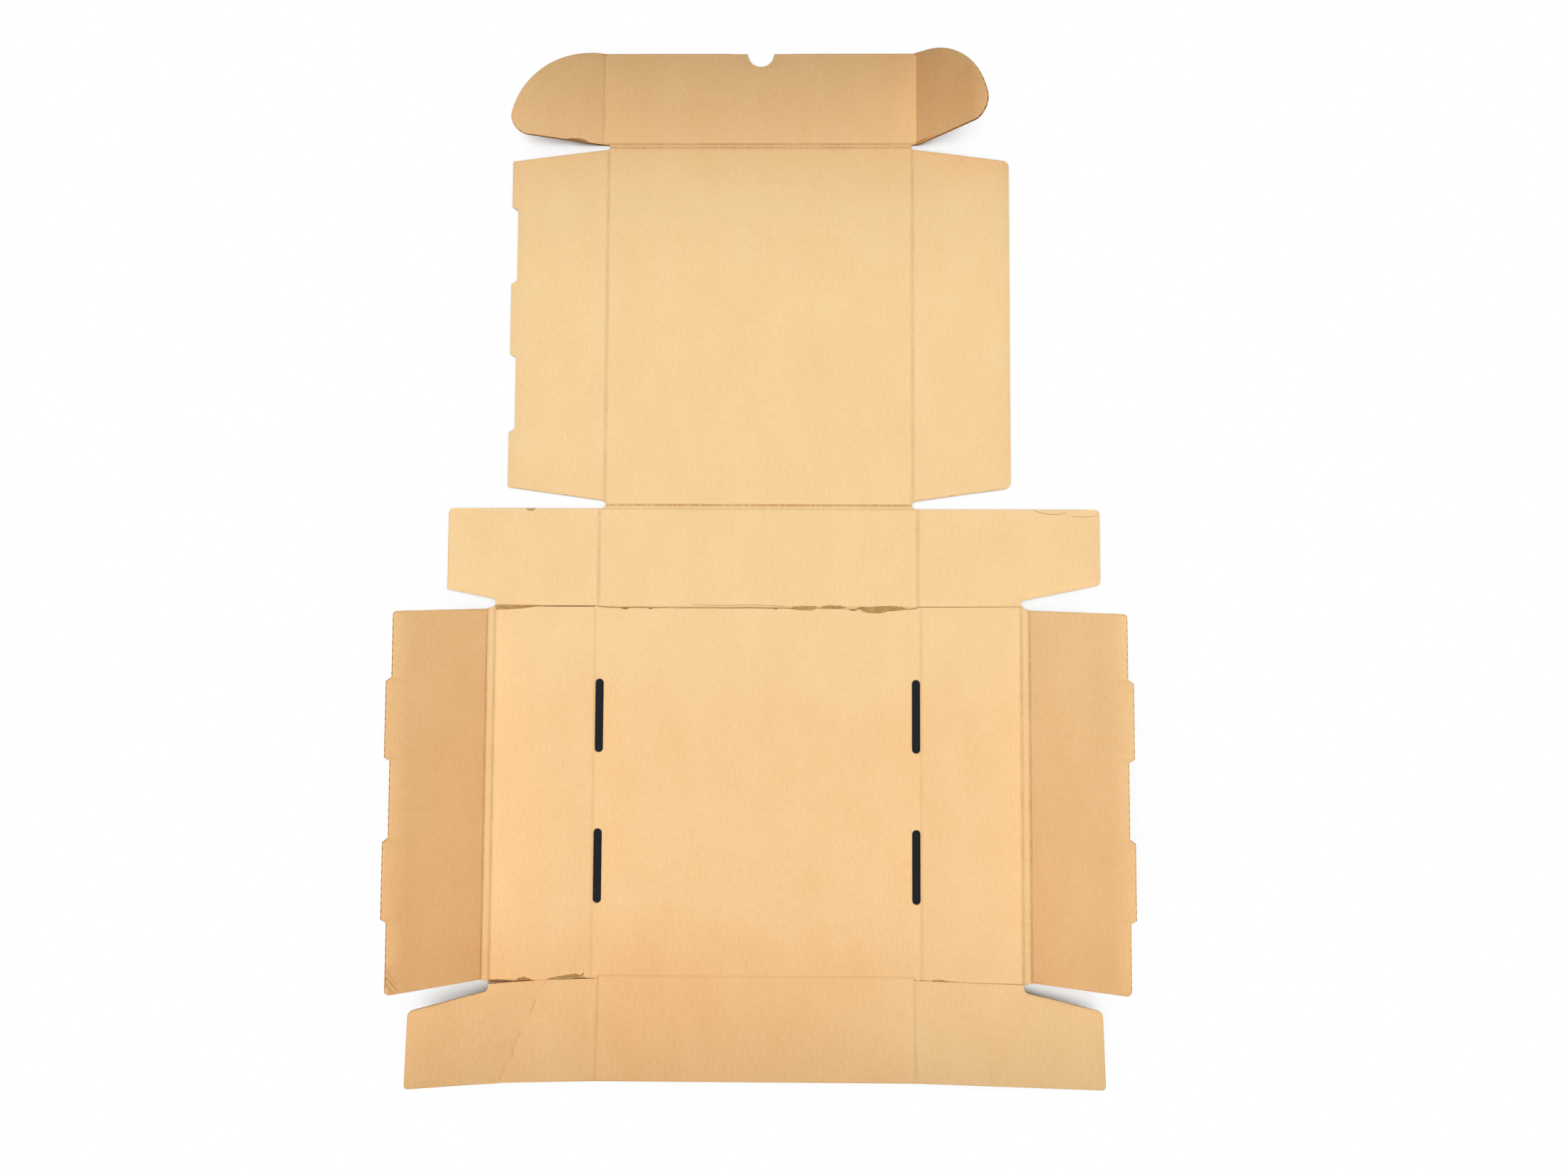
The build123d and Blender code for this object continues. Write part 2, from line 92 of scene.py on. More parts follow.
FLAP_EDGE = FLAP_START + INNER_FLAP

# Inner flap: where its front and back edges start, how much they taper, and its corners
FLAP_FRONT_STEP, FLAP_FRONT_TAPER = 2.0, 2.6
FLAP_BACK_STEP, FLAP_BACK_TAPER = 3.2, 4.7
FLAP_RADIUS = 4.2
# Its locking tabs: half lengths at root and tip
TAB_ROOT, TAB_TIP, TAB_HEIGHT, TAB_RADIUS = 36.0, 32.5, 5.0, 1.2

# Dust flaps: how far they reach beyond their creases. The left back one is short and square.
FRONT_DUST_REACH = 166.0
FRONT_DUST_RADIUS, FRONT_DUST_NOTCH_RADIUS = 3.5, 6.0
BACK_DUST_REACH = {LEFT: 141.0, RIGHT: 168.5}
BACK_DUST_RADIUS = 4.5
BACK_DUST_NOTCH_RADIUS = {LEFT: 0, RIGHT: 4.5}

# Lid wings: the left one has recesses with half lengths at mouth and floor
WING_RADIUS = 6.0
RECESS_ROWS = (368.5, 509.5)
RECESS_MOUTH, RECESS_FLOOR, RECESS_DEPTH = 37.0, 34.0, 5.6

# Ears: where the sweep leaves the tuck edge, how far out and up its tip is, and the tip's foot
EAR_START, EAR_REACH, EAR_TIP_RISE, EAR_TIP_FOOT = 8.0, 86.0, 20.5, 17.0
EAR_RADIUS = 92.0
THUMB_RADIUS, THUMB_MOUTH = 12.5, 12.7

# How far each panel has sprung up, in degrees, by side where the two differ
WALL_RISE = 7.0
ROLLOVER_RISE = {LEFT: 25.0, RIGHT: 20.0}
INNER_FLAP_RISE = {LEFT: 44.0, RIGHT: 34.0}
FRONT_RISE = 7.0
FRONT_DUST_RISE = {LEFT: 6.0, RIGHT: 7.0}
EAR_RISE = {LEFT: 20.0, RIGHT: 49.0}
# The second bend of the left front dust flap, which slants across it
KINK_RISE = 12.4
KINK_RADIUS = 24.0
KINK_START = (-191.0, -171.35)
KINK_END = (-229.0, -259.3)

# Round ends of the notches: distance from the middle line, height, radius
TUCK_NOTCH = (144.7, 604.1, 2.3)
LID_NOTCH = (146.2, 263.5, 3.8)
BACK_NOTCH = (246.45, 172.05, 3.4)
FRONT_NOTCH = (246.45, -175.15, 4.5)
TUCK_NOTCH_ANGLE, LID_NOTCH_ANGLE = 7.2, 8.0
BACK_NOTCH_ANGLE, FRONT_NOTCH_ANGLE = 11.5, 12.3
SLOT_X, SLOT_ROWS, SLOT_RADIUS, SLOT_REACH = 146.0, (-69.2, 67.8), 3.85, 29.9


def arc(centre, radius, start, end, count=12):
    """Points on a circle about a centre, at even steps from one angle in degrees to another."""
    turn = np.radians(np.linspace(start, end, count))
    return np.stack([centre[0] + radius * np.cos(turn), centre[1] + radius * np.sin(turn)], 1)


def rounded(points, radii):
    """A path through corner points, each corner replaced by the arc tangent to both its sides.

    The arc starts and ends at radius / tan(half the inner angle) from the corner."""
    points = np.array(points, float)
    path = [points[:1]]
    for before, corner, after, radius in zip(points, points[1:], points[2:], radii[1:]):
        if radius == 0:
            path.append(corner[None])
            continue
        back = (before - corner) / np.linalg.norm(before - corner)
        ahead = (after - corner) / np.linalg.norm(after - corner)
        half = np.arccos(np.clip(back @ ahead, -1, 1)) / 2
        middle = back + ahead
        centre = corner + middle / np.linalg.norm(middle) * radius / np.sin(half)
        first = corner + back * radius / np.tan(half) - centre
        last = corner + ahead * radius / np.tan(half) - centre
        start = atan2(first[1], first[0])
        swing = (atan2(last[1], last[0]) - start + pi) % (2 * pi) - pi
        path.append(arc(centre, radius, degrees(start), degrees(start + swing), count=9))
    path.append(points[-1:])
    return np.concatenate(path)


def notch_edge(notch, angle, distance, side_of_notch):
    """Height of a notch's slanting edge at a distance from the middle line."""
    x, y, radius = notch
    slope = tan(radians(angle))
    return y + side_of_notch * (radius / cos(radians(angle)) + (distance - x) * slope)


def front_side_path():
    """Front dust flap's edge, from the middle of the front edge round to the slit's inner end."""
    reach = FRONT_HALF + FRONT_DUST_REACH
    x, y, radius = FRONT_NOTCH
    slit_top = WALL_FRONT - SLIT
    slit_end = slit_top - (x - FRONT_HALF) * tan(radians(FRONT_SLIT_ANGLE))
    nose_end = degrees(atan2(slit_end - y, -sqrt(radius**2 - (slit_end - y) ** 2)))
    corners = [
        (0, FRONT_EDGE),
        (reach, FRONT_EDGE),
        (reach, notch_edge(FRONT_NOTCH, FRONT_NOTCH_ANGLE, reach, -1)),
        (x, notch_edge(FRONT_NOTCH, FRONT_NOTCH_ANGLE, x, -1)),
    ]
    edge = rounded(corners, [0, FRONT_DUST_RADIUS, FRONT_DUST_NOTCH_RADIUS, 0])[:-1]
    nose = arc((x, y), radius, 270 - FRONT_NOTCH_ANGLE, nose_end)
    return np.concatenate([edge, nose, [(FRONT_HALF, slit_top), (FRONT_HALF, FRONT_LINE)]])


def wall_side_path():
    """Base corner, side wall and inner flap with its two tabs, from the front slit to the back."""
    front, back = WALL_FRONT + FLAP_FRONT_STEP, WALL_BACK - FLAP_BACK_STEP
    tabs, tab_radii = [], []
    for row in SLOT_ROWS:
        tabs += [
            (FLAP_EDGE, row - TAB_ROOT),
            (FLAP_EDGE + TAB_HEIGHT, row - TAB_TIP),
            (FLAP_EDGE + TAB_HEIGHT, row + TAB_TIP),
            (FLAP_EDGE, row + TAB_ROOT),
        ]
        tab_radii += [0, TAB_RADIUS, TAB_RADIUS, 0]
    corners = [
        (FRONT_HALF + SLIT, FRONT_LINE),
        (FRONT_HALF + SLIT, WALL_FRONT),
        (BASE_HALF, WALL_FRONT),
        (WALL_TOP, WALL_FRONT_CORNER),
        (FLAP_START, front),
        (FLAP_EDGE, front + FLAP_FRONT_TAPER),
        *tabs,
        (FLAP_EDGE, back - FLAP_BACK_TAPER),
        (FLAP_START, back),
        (WALL_TOP, WALL_BACK),
        (BACK_HALF + SLIT, WALL_BACK),
        (BACK_HALF + SLIT, BACK_LINE),
        (BACK_HALF, BACK_LINE),
    ]
    radii = [0, 0, 0, 0, 0, FLAP_RADIUS, *tab_radii, FLAP_RADIUS, 0, 0, 0, 0, 0]
    return rounded(corners, radii)


def back_side_path(side):
    """Back dust flap, from the back slit's inner end round to the notch at the lid."""
    x, y, radius = BACK_NOTCH
    slit_edge = WALL_BACK + SLIT
    nose_start = 360 + degrees(atan2(slit_edge - y, -sqrt(radius**2 - (slit_edge - y) ** 2)))
    reach = BACK_HALF + BACK_DUST_REACH[side]
    top = LID_NOTCH[1] - LID_NOTCH[2]
    nose = arc((x, y), radius, nose_start, 90 + BACK_NOTCH_ANGLE)
    corners = [
        nose[-1],
        (reach, notch_edge(BACK_NOTCH, BACK_NOTCH_ANGLE, reach, 1)),
        (reach, top),
        (LID_NOTCH[0], top),
    ]
    edge = rounded(corners, [0, BACK_DUST_NOTCH_RADIUS[side], BACK_DUST_RADIUS, 0])
    return np.concatenate([[(BACK_HALF, slit_edge)], nose[:-1], edge[:-1]])


def lid_side_path(side):
    """Lid wing between its two notches, with the left one's recesses."""
    reach = LID_HALF + WALL
    bottom = (reach, notch_edge(LID_NOTCH, LID_NOTCH_ANGLE, reach, 1))
    top = (reach, notch_edge(TUCK_NOTCH, TUCK_NOTCH_ANGLE, reach, -1))
    lower_nose = arc(LID_NOTCH[:2], LID_NOTCH[2], 270, 90 + LID_NOTCH_ANGLE)
    upper_nose = arc(TUCK_NOTCH[:2], TUCK_NOTCH[2], 270 - TUCK_NOTCH_ANGLE, 90)
    if side == RIGHT:
        corners = [lower_nose[-1], bottom, top, upper_nose[0]]
        edge = rounded(corners, [0, WING_RADIUS, WING_RADIUS, 0])[1:-1]
    else:
        recesses = []
        for row in RECESS_ROWS:
            recesses += [
                (reach, row - RECESS_MOUTH),
                (reach - RECESS_DEPTH, row - RECESS_FLOOR),
                (reach - RECESS_DEPTH, row + RECESS_FLOOR),
                (reach, row + RECESS_MOUTH),
            ]
        edge = np.array([bottom, *recesses, top])
    return np.concatenate([lower_nose, edge, upper_nose])


def ear_side_path():
    """Ear of the tuck flap: straight bottom, tight tip, long sweep, and on to the thumb notch.

    The sweep is an arc of its given radius through start and tip. The tip's own arc is tangent
    to it and ends on the straight bottom."""
    bottom = TUCK_NOTCH[1] + TUCK_NOTCH[2]
    start = np.array([TUCK_HALF + EAR_START, TUCK_EDGE])
    tip = np.array([TUCK_HALF + EAR_REACH, bottom + EAR_TIP_RISE])
    tip_end = np.array([tip[0] - EAR_TIP_FOOT, bottom])
    chord = tip - start
    inward = np.array([chord[1], -chord[0]]) / np.linalg.norm(chord)
    centre = (start + tip) / 2 + inward * sqrt(EAR_RADIUS**2 - (chord @ chord) / 4)
    angles = [degrees(atan2(*(point - centre)[::-1])) for point in (start, tip)]
    to_centre = (centre - tip) / EAR_RADIUS
    across = tip_end - tip
    tip_radius = (across @ across) / (2 * (to_centre @ across))
    tip_centre = tip + to_centre * tip_radius
    tip_turn = degrees(atan2(*(tip_end - tip_centre)[::-1]))
    round_tip = arc(tip_centre, tip_radius, tip_turn, angles[1], count=16)
    sweep = arc(centre, EAR_RADIUS, angles[1], angles[0], count=30)
    return np.concatenate([round_tip, sweep[1:], [(THUMB_MOUTH, TUCK_EDGE)]])


def blank_outline():
    """The whole blank laid flat: the right side's path, the thumb notch, the left side's path."""
    sides = {}
    for side in SIDES:
        paths = [front_side_path(), wall_side_path(), back_side_path(side)]
        paths += [lid_side_path(side), ear_side_path()]
        sides[side] = np.concatenate(paths) * (side, 1)
    thumb = arc((0, TUCK_EDGE), THUMB_RADIUS, 0, -180, count=24)
    return np.concatenate([sides[RIGHT][1:], thumb, sides[LEFT][:0:-1]])


def slot_outlines():
    """The four locking slots, each two half circles joined by straight sides."""
    slots = []
    for side in SIDES:
        for row in SLOT_ROWS:
            upper = arc((side * SLOT_X, row + SLOT_REACH), SLOT_RADIUS, 0, 180, count=13)
            lower = arc((side * SLOT_X, row - SLOT_REACH), SLOT_RADIUS, 180, 360, count=13)
            slots.append(np.concatenate([upper, lower]))
    return slots


# Where the inside liner is torn through part of its thickness: outlines on the flat blank,
# along the back crease, at the ends of the side walls and on three flaps' edges.
# The board's own edge cuts off what lies outside it.
TEARS = [
    [
        (30, 167.0), (33, 168.9), (41, 169.7), (47, 169.2), (53, 169.6), (55.5, 167.6),
        (50, 165.1), (37, 165.4),
    ],
    [(56, 167.5), (60, 169.4), (67, 170.4), (76, 169.6), (84, 167.6), (72, 167.2)],
    [(84, 167.1), (92, 166.9), (91, 165.2), (86.5, 165.6), (83, 166.4)],
    [
        (90.5, 167.4), (95, 168.9), (104, 168.5), (112, 169.5), (125, 169.8), (134, 168.7),
        (139, 166.9), (132, 165.4), (121, 164.9), (114, 163.3), (103, 163.6), (97, 164.9),
    ],
    [(-242.5, 169.2), (-203, 169.2), (-203, 167.9), (-216, 166.0), (-229, 164.8), (-242.5, 164.4)],
    [(-242.5, -172.6), (-242.5, -169.4), (-233, -168.9), (-226, -169.9), (-217, -172.0)],
    [(-217.5, -172.0), (-216.5, -168.7), (-211, -167.3), (-206, -168.9), (-202.9, -171.6)],
    [
        (-191.2, -171.8), (-188, -169.3), (-178, -167.4), (-170, -166.6), (-164, -165.7),
        (-160.5, -167.4), (-156, -171.1),
    ],
    [
        (-161, -168.2), (-157.4, -165.2), (-156.4, -165.6), (-158.2, -168.4), (-151.5, -171.0),
        (-156, -171.0),
    ],
    [(160, -171.3), (161, -169.6), (168, -169.3), (176, -170.3), (184, -170.4), (188, -171.5)],
    [(-217.5, 260), (-214, 257.6), (-209.5, 257.4), (-206.5, 260)],
    [(-185.5, 606), (-181, 608.2), (-172, 609.3), (-166, 608.4), (-163, 606)],
]
# Cracks that go right through the inside liner: (width, points along the crack)
CRACKS = [
    (0.95, [(-148.0, 168.8), (-141, 167.9), (-128, 167.3), (-112, 167.8), (-99, 167.2), (-84, 167.6)]),
    (0.7, [(-84, 167.6), (-70, 167.2), (-56, 167.5)]),
    (1.5, [(-126.6, 166.9), (-123.0, 166.3), (-119.6, 166.9)]),
    (1.7, [(-101.3, 166.9), (-99.6, 166.6), (-97.9, 166.9)]),
    (1.2, [(15.0, 166.8), (16.5, 166.5), (18.0, 166.8)]),
    (1.2, [(85.0, 165.9), (88.0, 165.5), (91.5, 165.9)]),
    (0.9, [(-56, 167.5), (-30, 167.2), (-8, 167.6), (14, 167.2), (24, 167.4), (32, 167.0)]),
    (0.4, [(-60, 170.3), (-35, 169.8), (-8, 170.3), (10, 169.9), (24, 169.2)]),
    (0.4, [(55, 166.9), (70, 167.0), (84, 166.7)]),
    (0.6, [(96, 164.3), (104, 163.3), (113, 163.2), (118, 164.2)]),
    (0.9, [(137, 166.6), (143, 167.0), (148.2, 168.4)]),
    (1.1, [(-206, 168.35), (-188, 168.15), (-172, 168.25), (-151.5, 168.35)]),
    (0.4, [(-217.4, 169.3), (-217.8, 171.2)]),
    (0.8, [(-241, -171.8), (-230, -171.6), (-218, -171.5)]),
    (0.5, [(-216, -171.4), (-209, -171.3), (-204, -171.2)]),
    (0.7, [(-190, -171.1), (-178, -170.9), (-168, -170.8)]),
    (0.9, [(-168, -170.7), (-158, -170.6), (-147, -170.5)]),
    (0.5, [(146.6, -170.6), (150.4, -171.1)]),
    (0.7, [(160.5, -170.9), (166, -170.9), (172, -170.8)]),
    (0.4, [(254.5, 259.2), (260, 257.2), (268, 255.4), (279, 255.2), (286, 256.9)]),
    (0.4, [(290.6, 254.4), (292, 253.3), (304, 252.7), (311, 253.6), (314, 255.6)]),
    (0.4, [(-216.5, 258.6), (-213.5, 257.3), (-209.6, 257.2)]),
    (0.5, [(-184, 606.9), (-176, 607.4), (-166, 606.9)]),
]
# Where the front slit was never cut through
NICK = [(-190.8, -170.4), (-190.8, -172.9), (-202.8, -172.9), (-202.8, -170.4)]


def along_kink(share):
    """A point on the slanting bend, from 0 at the slit to 1 at the front edge."""
    return tuple(a + (b - a) * share for a, b in zip(KINK_START, KINK_END))


# Wrinkles pressed into the inside: (first end, last end, depth, width)
WRINKLES = [
    (along_kink(0.0), along_kink(1.03), 0.03, 1.6),
    ((-190.9, -171.6), (-192.3, -178.0), 0.40, 0.7),
    ((-199.3, -188.4), (-202.7, -198.8), 0.50, 0.8),
    ((-202.7, -198.8), (-205.9, -205.8), 0.32, 0.8),
    ((-211.4, -216.5), (-215.6, -223.3), 0.48, 0.7),
    ((-215.6, -223.3), (-217.3, -229.9), 0.36, 0.7),
    ((-217.3, -229.9), (-218.0, -238.5), 0.48, 0.7),
    ((-223.5, -245.1), (-228.1, -256.4), 0.40, 0.7),
    ((-341, -148), (-329, -163), 0.55, 1.0),
    ((-341, -154), (-333, -164), 0.50, 0.9),
    ((-341, -141), (-331, -157), 0.28, 1.2),
]

# Creases that run along Y: distance from the middle line, lowest and highest point, depth
UPRIGHT_CREASES = [
    (BASE_HALF, WALL_FRONT, WALL_BACK, 0.30),
    (WALL_TOP, WALL_FRONT, WALL_BACK, 0.55),
    (FLAP_START, WALL_FRONT, WALL_BACK, 0.70),
    (BACK_HALF, WALL_BACK, LID_NOTCH[1], 0.48),
    (LID_HALF, LID_NOTCH[1], TUCK_NOTCH[1], 0.45),
    (TUCK_HALF, TUCK_NOTCH[1], TUCK_EDGE, 0.40),
    (FRONT_HALF, FRONT_EDGE, WALL_FRONT, 0.36),
]
CREASE_WIDTH = 1.9
CREASE_OFFSETS = (-3.0, -1.7, -0.8, 0.0, 0.8, 1.7, 3.0)
# Creases that run along X: height, half length, depth, width. The lid's ends have two each.
LEVEL_CREASES = [
    (BACK_LINE, BACK_HALF, 0.50, 1.3),
    (FRONT_LINE, FRONT_HALF, 0.30, 1.3),
    (LID_LINE + 1.5, LID_NOTCH[0], 1.15, 0.95),
    (LID_LINE - 1.8, LID_NOTCH[0], 0.5, 1.1),
    (TUCK_LINE + 1.5, TUCK_NOTCH[0], 0.9, 0.95),
    (TUCK_LINE - 1.8, TUCK_NOTCH[0], 0.75, 1.3),
]
LEVEL_OFFSETS = (-1.9, -1.2, -0.75, -0.35, 0.0, 0.35, 0.75, 1.2, 1.9)

# How uneven a groove is along its length, and how far it deepens and eases with each flute
UNEVENNESS, FLUTE_BEADS = 0.16, 0.10
# How far past its end a groove is still pressed
UPRIGHT_OVERRUN, LEVEL_OVERRUN = 0.3, 0.1

# The meshes' rows. A liner has 4 to a flute and the medium has 8. The phase, in steps, and
# the clearance keep them off the outline's corners.
LINER_STEP, MEDIUM_STEP = FLUTE_PITCH / 4, FLUTE_PITCH / 8
ROW_PHASE, ROW_CLEARANCE = 0.37, 0.013
# The plain columns, which run over every row
COLUMNS = np.arange(-10, 11) * 36.0
BEYOND_ALL = 1e4
# How near things come: two of a crease's rows, a plain row to them, a plain column to a
# crease's, and a column to the end of its row
CLOSEST_ROWS, CLOSEST_PLAIN_ROW, CLOSEST_COLUMN, CLOSEST_END = 0.2, 0.3, 5.0, 0.25
# An edge that climbs less than this gets points at the columns
LEVEL_CLIMB = 1.0
# Points this near are welded into one, and a length or area this small is none
WELD, NOTHING = 1e-3, 1e-6
# An edge of the mesh that turns by more degrees is shaded sharp
SHARP_ANGLE = 40

# How far the inside liner is thinned where it is torn, and how unevenly
TORN_DEPTH, TORN_ROUGHNESS = 0.19, 0.06
# The loose points in a torn place: how far apart along X and along Y, and how scattered
LOOSE_STEPS, LOOSE_SCATTER = (1.1, 0.6), 0.2
# A crack is narrower at its ends, and its sides are cut into longer and less ragged steps
CRACK_END, CRACK_STEP, CRACK_ROUGHNESS = 0.7, 1.6, 0.07
# Where the mesh has lines beside a wrinkle, in widths of it
WRINKLE_OFFSETS = (-1.6, -0.7, 0.0, 0.7, 1.6)

# Painted shade: how far the paper is tinted darker and browner in each place, from 0 to 1, and
# where it sets in. It stands in for shade on the tilted flaps and the right ear, for the light's
# fall-off towards both ends, and for a cast shadow over the front panel's middle.
BASE_PAINTED_SHADE, BASE_FADE = 0.35, (150, 40)
FRONT_PAINTED_SHADE, FRONT_FADE = 0.4, (-40, -180)
FRONT_MIDDLE_PAINTED_SHADOW, FRONT_MIDDLE_FADE = 0.4, (170, 110)
TUCK_PAINTED_SHADE, TUCK_FADE = 0.6, (540, 640)
RIGHT_EAR_PAINTED_SHADE, RIGHT_EAR_FADE = 0.35, (140, 160)
FLAP_PAINTED_SHADE, FLAP_BACK_FADE, FLAP_FRONT_FADE = 0.7, (175, 160), (-178, -172)
FLAP_FADE = (FLAP_START - 3, FLAP_START)
# Its change for each millimetre to the right, and on the inner flaps towards the lid as well
FRONT_PAINTED_SHADE_ACROSS, FLAP_PAINTED_SHADE_ACROSS, FLAP_PAINTED_SHADE_ALONG = -0.0016, -0.00035, -0.0015

# Colours of the papers as sRGB hex: their darker and their paler flocks. The second kraft pair
# is painted shade, and the last colour is the creases' crushed fibres with painted shade.
EVEN_KRAFT, PAINTED_SHADE_KRAFT = ("#F2CB93", "#F8D5A0"), ("#EEB97B", "#F6C58B")
TORN_KRAFT, RECYCLED_PAPER = ("#A0733B", "#D4AD73"), ("#9C6D39", "#C19056")
DARK_SPECK, PALE_SPECK, CREASE_WEAR_AND_SHADE_KRAFT = "#B98B57", "#FFE9C6", "#AB763D"

# Floor: its reach from the middle, half sizes of the near black painted shade under a slot, and
# how far from the board it takes a soft shade and a dark one
FLOOR_REACH = 4000.0
PAINTED_SHADE_HALF_WIDTH, PAINTED_SHADE_HALF_LENGTH = 7, 37
SOFT_SHADE, CONTACT_SHADE = 120, 12


def mesh_rows(step):
    """Heights of a mesh's rows: even steps, with closer rows over the creases that run along X.

    No row runs exactly through a corner of the outline, so that its ends come in pairs."""
    numbers = np.arange(int(FRONT_EDGE / step) - 2, int(TUCK_EDGE / step) + 2)
    rows = (numbers + ROW_PHASE) * step
    lines = np.array([line for line, *_ in LEVEL_CREASES])
    close = np.unique((lines[:, None] + np.array(LEVEL_OFFSETS) + ROW_CLEARANCE).ravel())
    close = close[np.append(np.diff(close) > CLOSEST_ROWS, True)]
    rows = rows[np.abs(rows[:, None] - close).min(axis=1) > CLOSEST_PLAIN_ROW]
    return np.sort(np.concatenate([rows, close]))


def level_crossings(ring, levels, axis):
    """Where a ring's sides cross levels of one axis: which side, the share along it, which level."""
    ends = np.roll(ring, -1, axis=0)
    low = np.minimum(ring[:, axis], ends[:, axis])[:, None]
    high = np.maximum(ring[:, axis], ends[:, axis])[:, None]
    side, level = np.nonzero((levels > low) & (levels < high))
    share = (levels[level] - ring[side, axis]) / (ends[side, axis] - ring[side, axis])
    return side, share, level


def divided_ring(ring, rows):
    """A ring with a point added at every row, and at every column on sides that run along X."""
    ends = np.roll(ring, -1, axis=0)
    run = np.abs(ends - ring)
    side, share, _ = level_crossings(ring, rows, 1)
    across, across_share, _ = level_crossings(ring, COLUMNS, 0)
    flat = run[across, 1] < LEVEL_CLIMB
    places = np.concatenate([np.arange(len(ring)), side + share, (across + across_share)[flat]])
    places = np.unique(places)
    whole = places.astype(int)
    return ring[whole] + (places - whole)[:, None] * (ends - ring)[whole]


def row_spans(rings, rows):
    """Stretches of each row that lie on the board: row number, left end and right end."""
    found = []
    for ring in rings:
        side, share, level = level_crossings(ring, rows, 1)
        ends = np.roll(ring, -1, axis=0)
        x = ring[side, 0] + share * (ends - ring)[side, 0]
        found.append(np.stack([level, x], 1))
    found = np.concatenate(found)
    found = found[np.lexsort((found[:, 1], found[:, 0]))]
    return found[0::2, 0].astype(int), found[0::2, 1], found[1::2, 1]


def row_columns(level_y, left, right):
    """Points along row spans, wherever a plain column or a crease's columns cross them.

    Gives the points and, for each, the number of its span, in order from left to right."""
    plain = len(COLUMNS)
    x = [COLUMNS]
    low = [np.full(plain, -BEYOND_ALL)]
    high = [np.full(plain, BEYOND_ALL)]
    for crease, start, end, _ in UPRIGHT_CREASES:
        for side in SIDES:
            x.append(side * crease + np.array(CREASE_OFFSETS))
            low.append(np.full(len(CREASE_OFFSETS), start))
            high.append(np.full(len(CREASE_OFFSETS), end))
    x, low, high = np.concatenate(x), np.concatenate(low), np.concatenate(high)
    near = np.abs(x[plain:, None] - COLUMNS) < CLOSEST_COLUMN
    on_row = (level_y[:, None] > low) & (level_y[:, None] < high)
    blocked = (on_row[:, plain:, None] & near).any(axis=1)
    on_row[:, :plain] &= ~blocked
    inside = on_row & (x > left[:, None] + CLOSEST_END) & (x < right[:, None] - CLOSEST_END)
    span, column = np.nonzero(inside)
    spans = np.arange(len(level_y))
    number = np.concatenate([spans, span, spans])
    place = np.concatenate([left, x[column], right])
    order = np.lexsort((place, number))
    return place[order], number[order]


def inside_ring(points, ring):
    """Which points lie inside a ring: a line from the point to the right crosses it oddly often."""
    ends = np.roll(ring, -1, axis=0)
    x, y = points[:, :1], points[:, 1:]
    spans = (ring[:, 1] > y) != (ends[:, 1] > y)
    rise = np.where(ends[:, 1] == ring[:, 1], 1.0, ends[:, 1] - ring[:, 1])
    reach = ring[:, 0] + (y - ring[:, 1]) * (ends[:, 0] - ring[:, 0]) / rise
    return (spans & (x < reach)).sum(axis=1) % 2 == 1


def apart(ring):
    """The ring without points that repeat the one before."""
    return ring[np.hypot(*(ring - np.roll(ring, 1, axis=0)).T) > NOTHING]


def inset(ring, distance):
    """A ring moved to its left: each corner goes along the middle of its two sides' normals.

    At a sharp corner the middle is short, and its least length squared keeps the corner near."""
    least = 0.8
    ahead = np.roll(ring, -1, axis=0) - ring
    ahead /= np.hypot(*ahead.T)[:, None]
    normal = np.stack([-ahead[:, 1], ahead[:, 0]], 1)
    middle = normal + np.roll(normal, 1, axis=0)
    return ring + middle * (2 * distance / np.maximum((middle**2).sum(axis=1), least))[:, None]


def torn_edge(points, seed, step=0.9, rough=0.32):
    """A closed outline through its points, cut into short steps that jitter like torn fibres.

    It jitters less along Y, because most torn places run along X."""
    jitter = (1, 0.6)
    points = np.array(points, float)
    sides = np.roll(points, -1, axis=0) - points
    counts = [max(1, round(length / step)) for length in np.hypot(*sides.T)]
    places = [side + np.arange(0, 1, 1 / count) for side, count in enumerate(counts)]
    places = np.concatenate(places)
    whole = places.astype(int)
    ring = points[whole] + (places - whole)[:, None] * sides[whole]
    return ring + np.random.default_rng(seed).uniform(-rough, rough, ring.shape) * jitter


def crack_outline(points, width, seed):
    """A thin sliver along a line: there on its lower side and back on its upper side, roughened."""
    points = np.array(points, float)
    last = len(points) - 1
    taper = np.interp(np.arange(len(points)), [0, last / 2, last], [CRACK_END, 1, CRACK_END])
    half = np.stack([np.zeros(len(points)), width / 2 * taper], 1)
    sliver = np.concatenate([points - half, (points + half)[::-1]])
    return torn_edge(sliver, seed, CRACK_STEP, CRACK_ROUGHNESS)


def wrinkle_lines():
    """Lines along each wrinkle and beside it, for the mesh to bend along."""
    lines = []
    for start, end, _, width in WRINKLES:
        start, end = np.array(start), np.array(end)
        along = (end - start) / np.linalg.norm(end - start)
        across = np.array([along[1], -along[0]])
        lines += [np.array([start, end]) + share * width * across for share in WRINKLE_OFFSETS]
    return lines


def loose_grid(ring, seed):
    """Scattered points inside a torn outline, closer across the flutes than along them."""
    places = [np.arange(*ends) for ends in zip(ring.min(axis=0), ring.max(axis=0), LOOSE_STEPS)]
    x, y = np.meshgrid(*places)
    grid = np.stack([x.ravel(), y.ravel()], 1)
    grid += np.random.default_rng(seed).uniform(-LOOSE_SCATTER, LOOSE_SCATTER, grid.shape)
    return grid[inside_ring(grid, ring)]


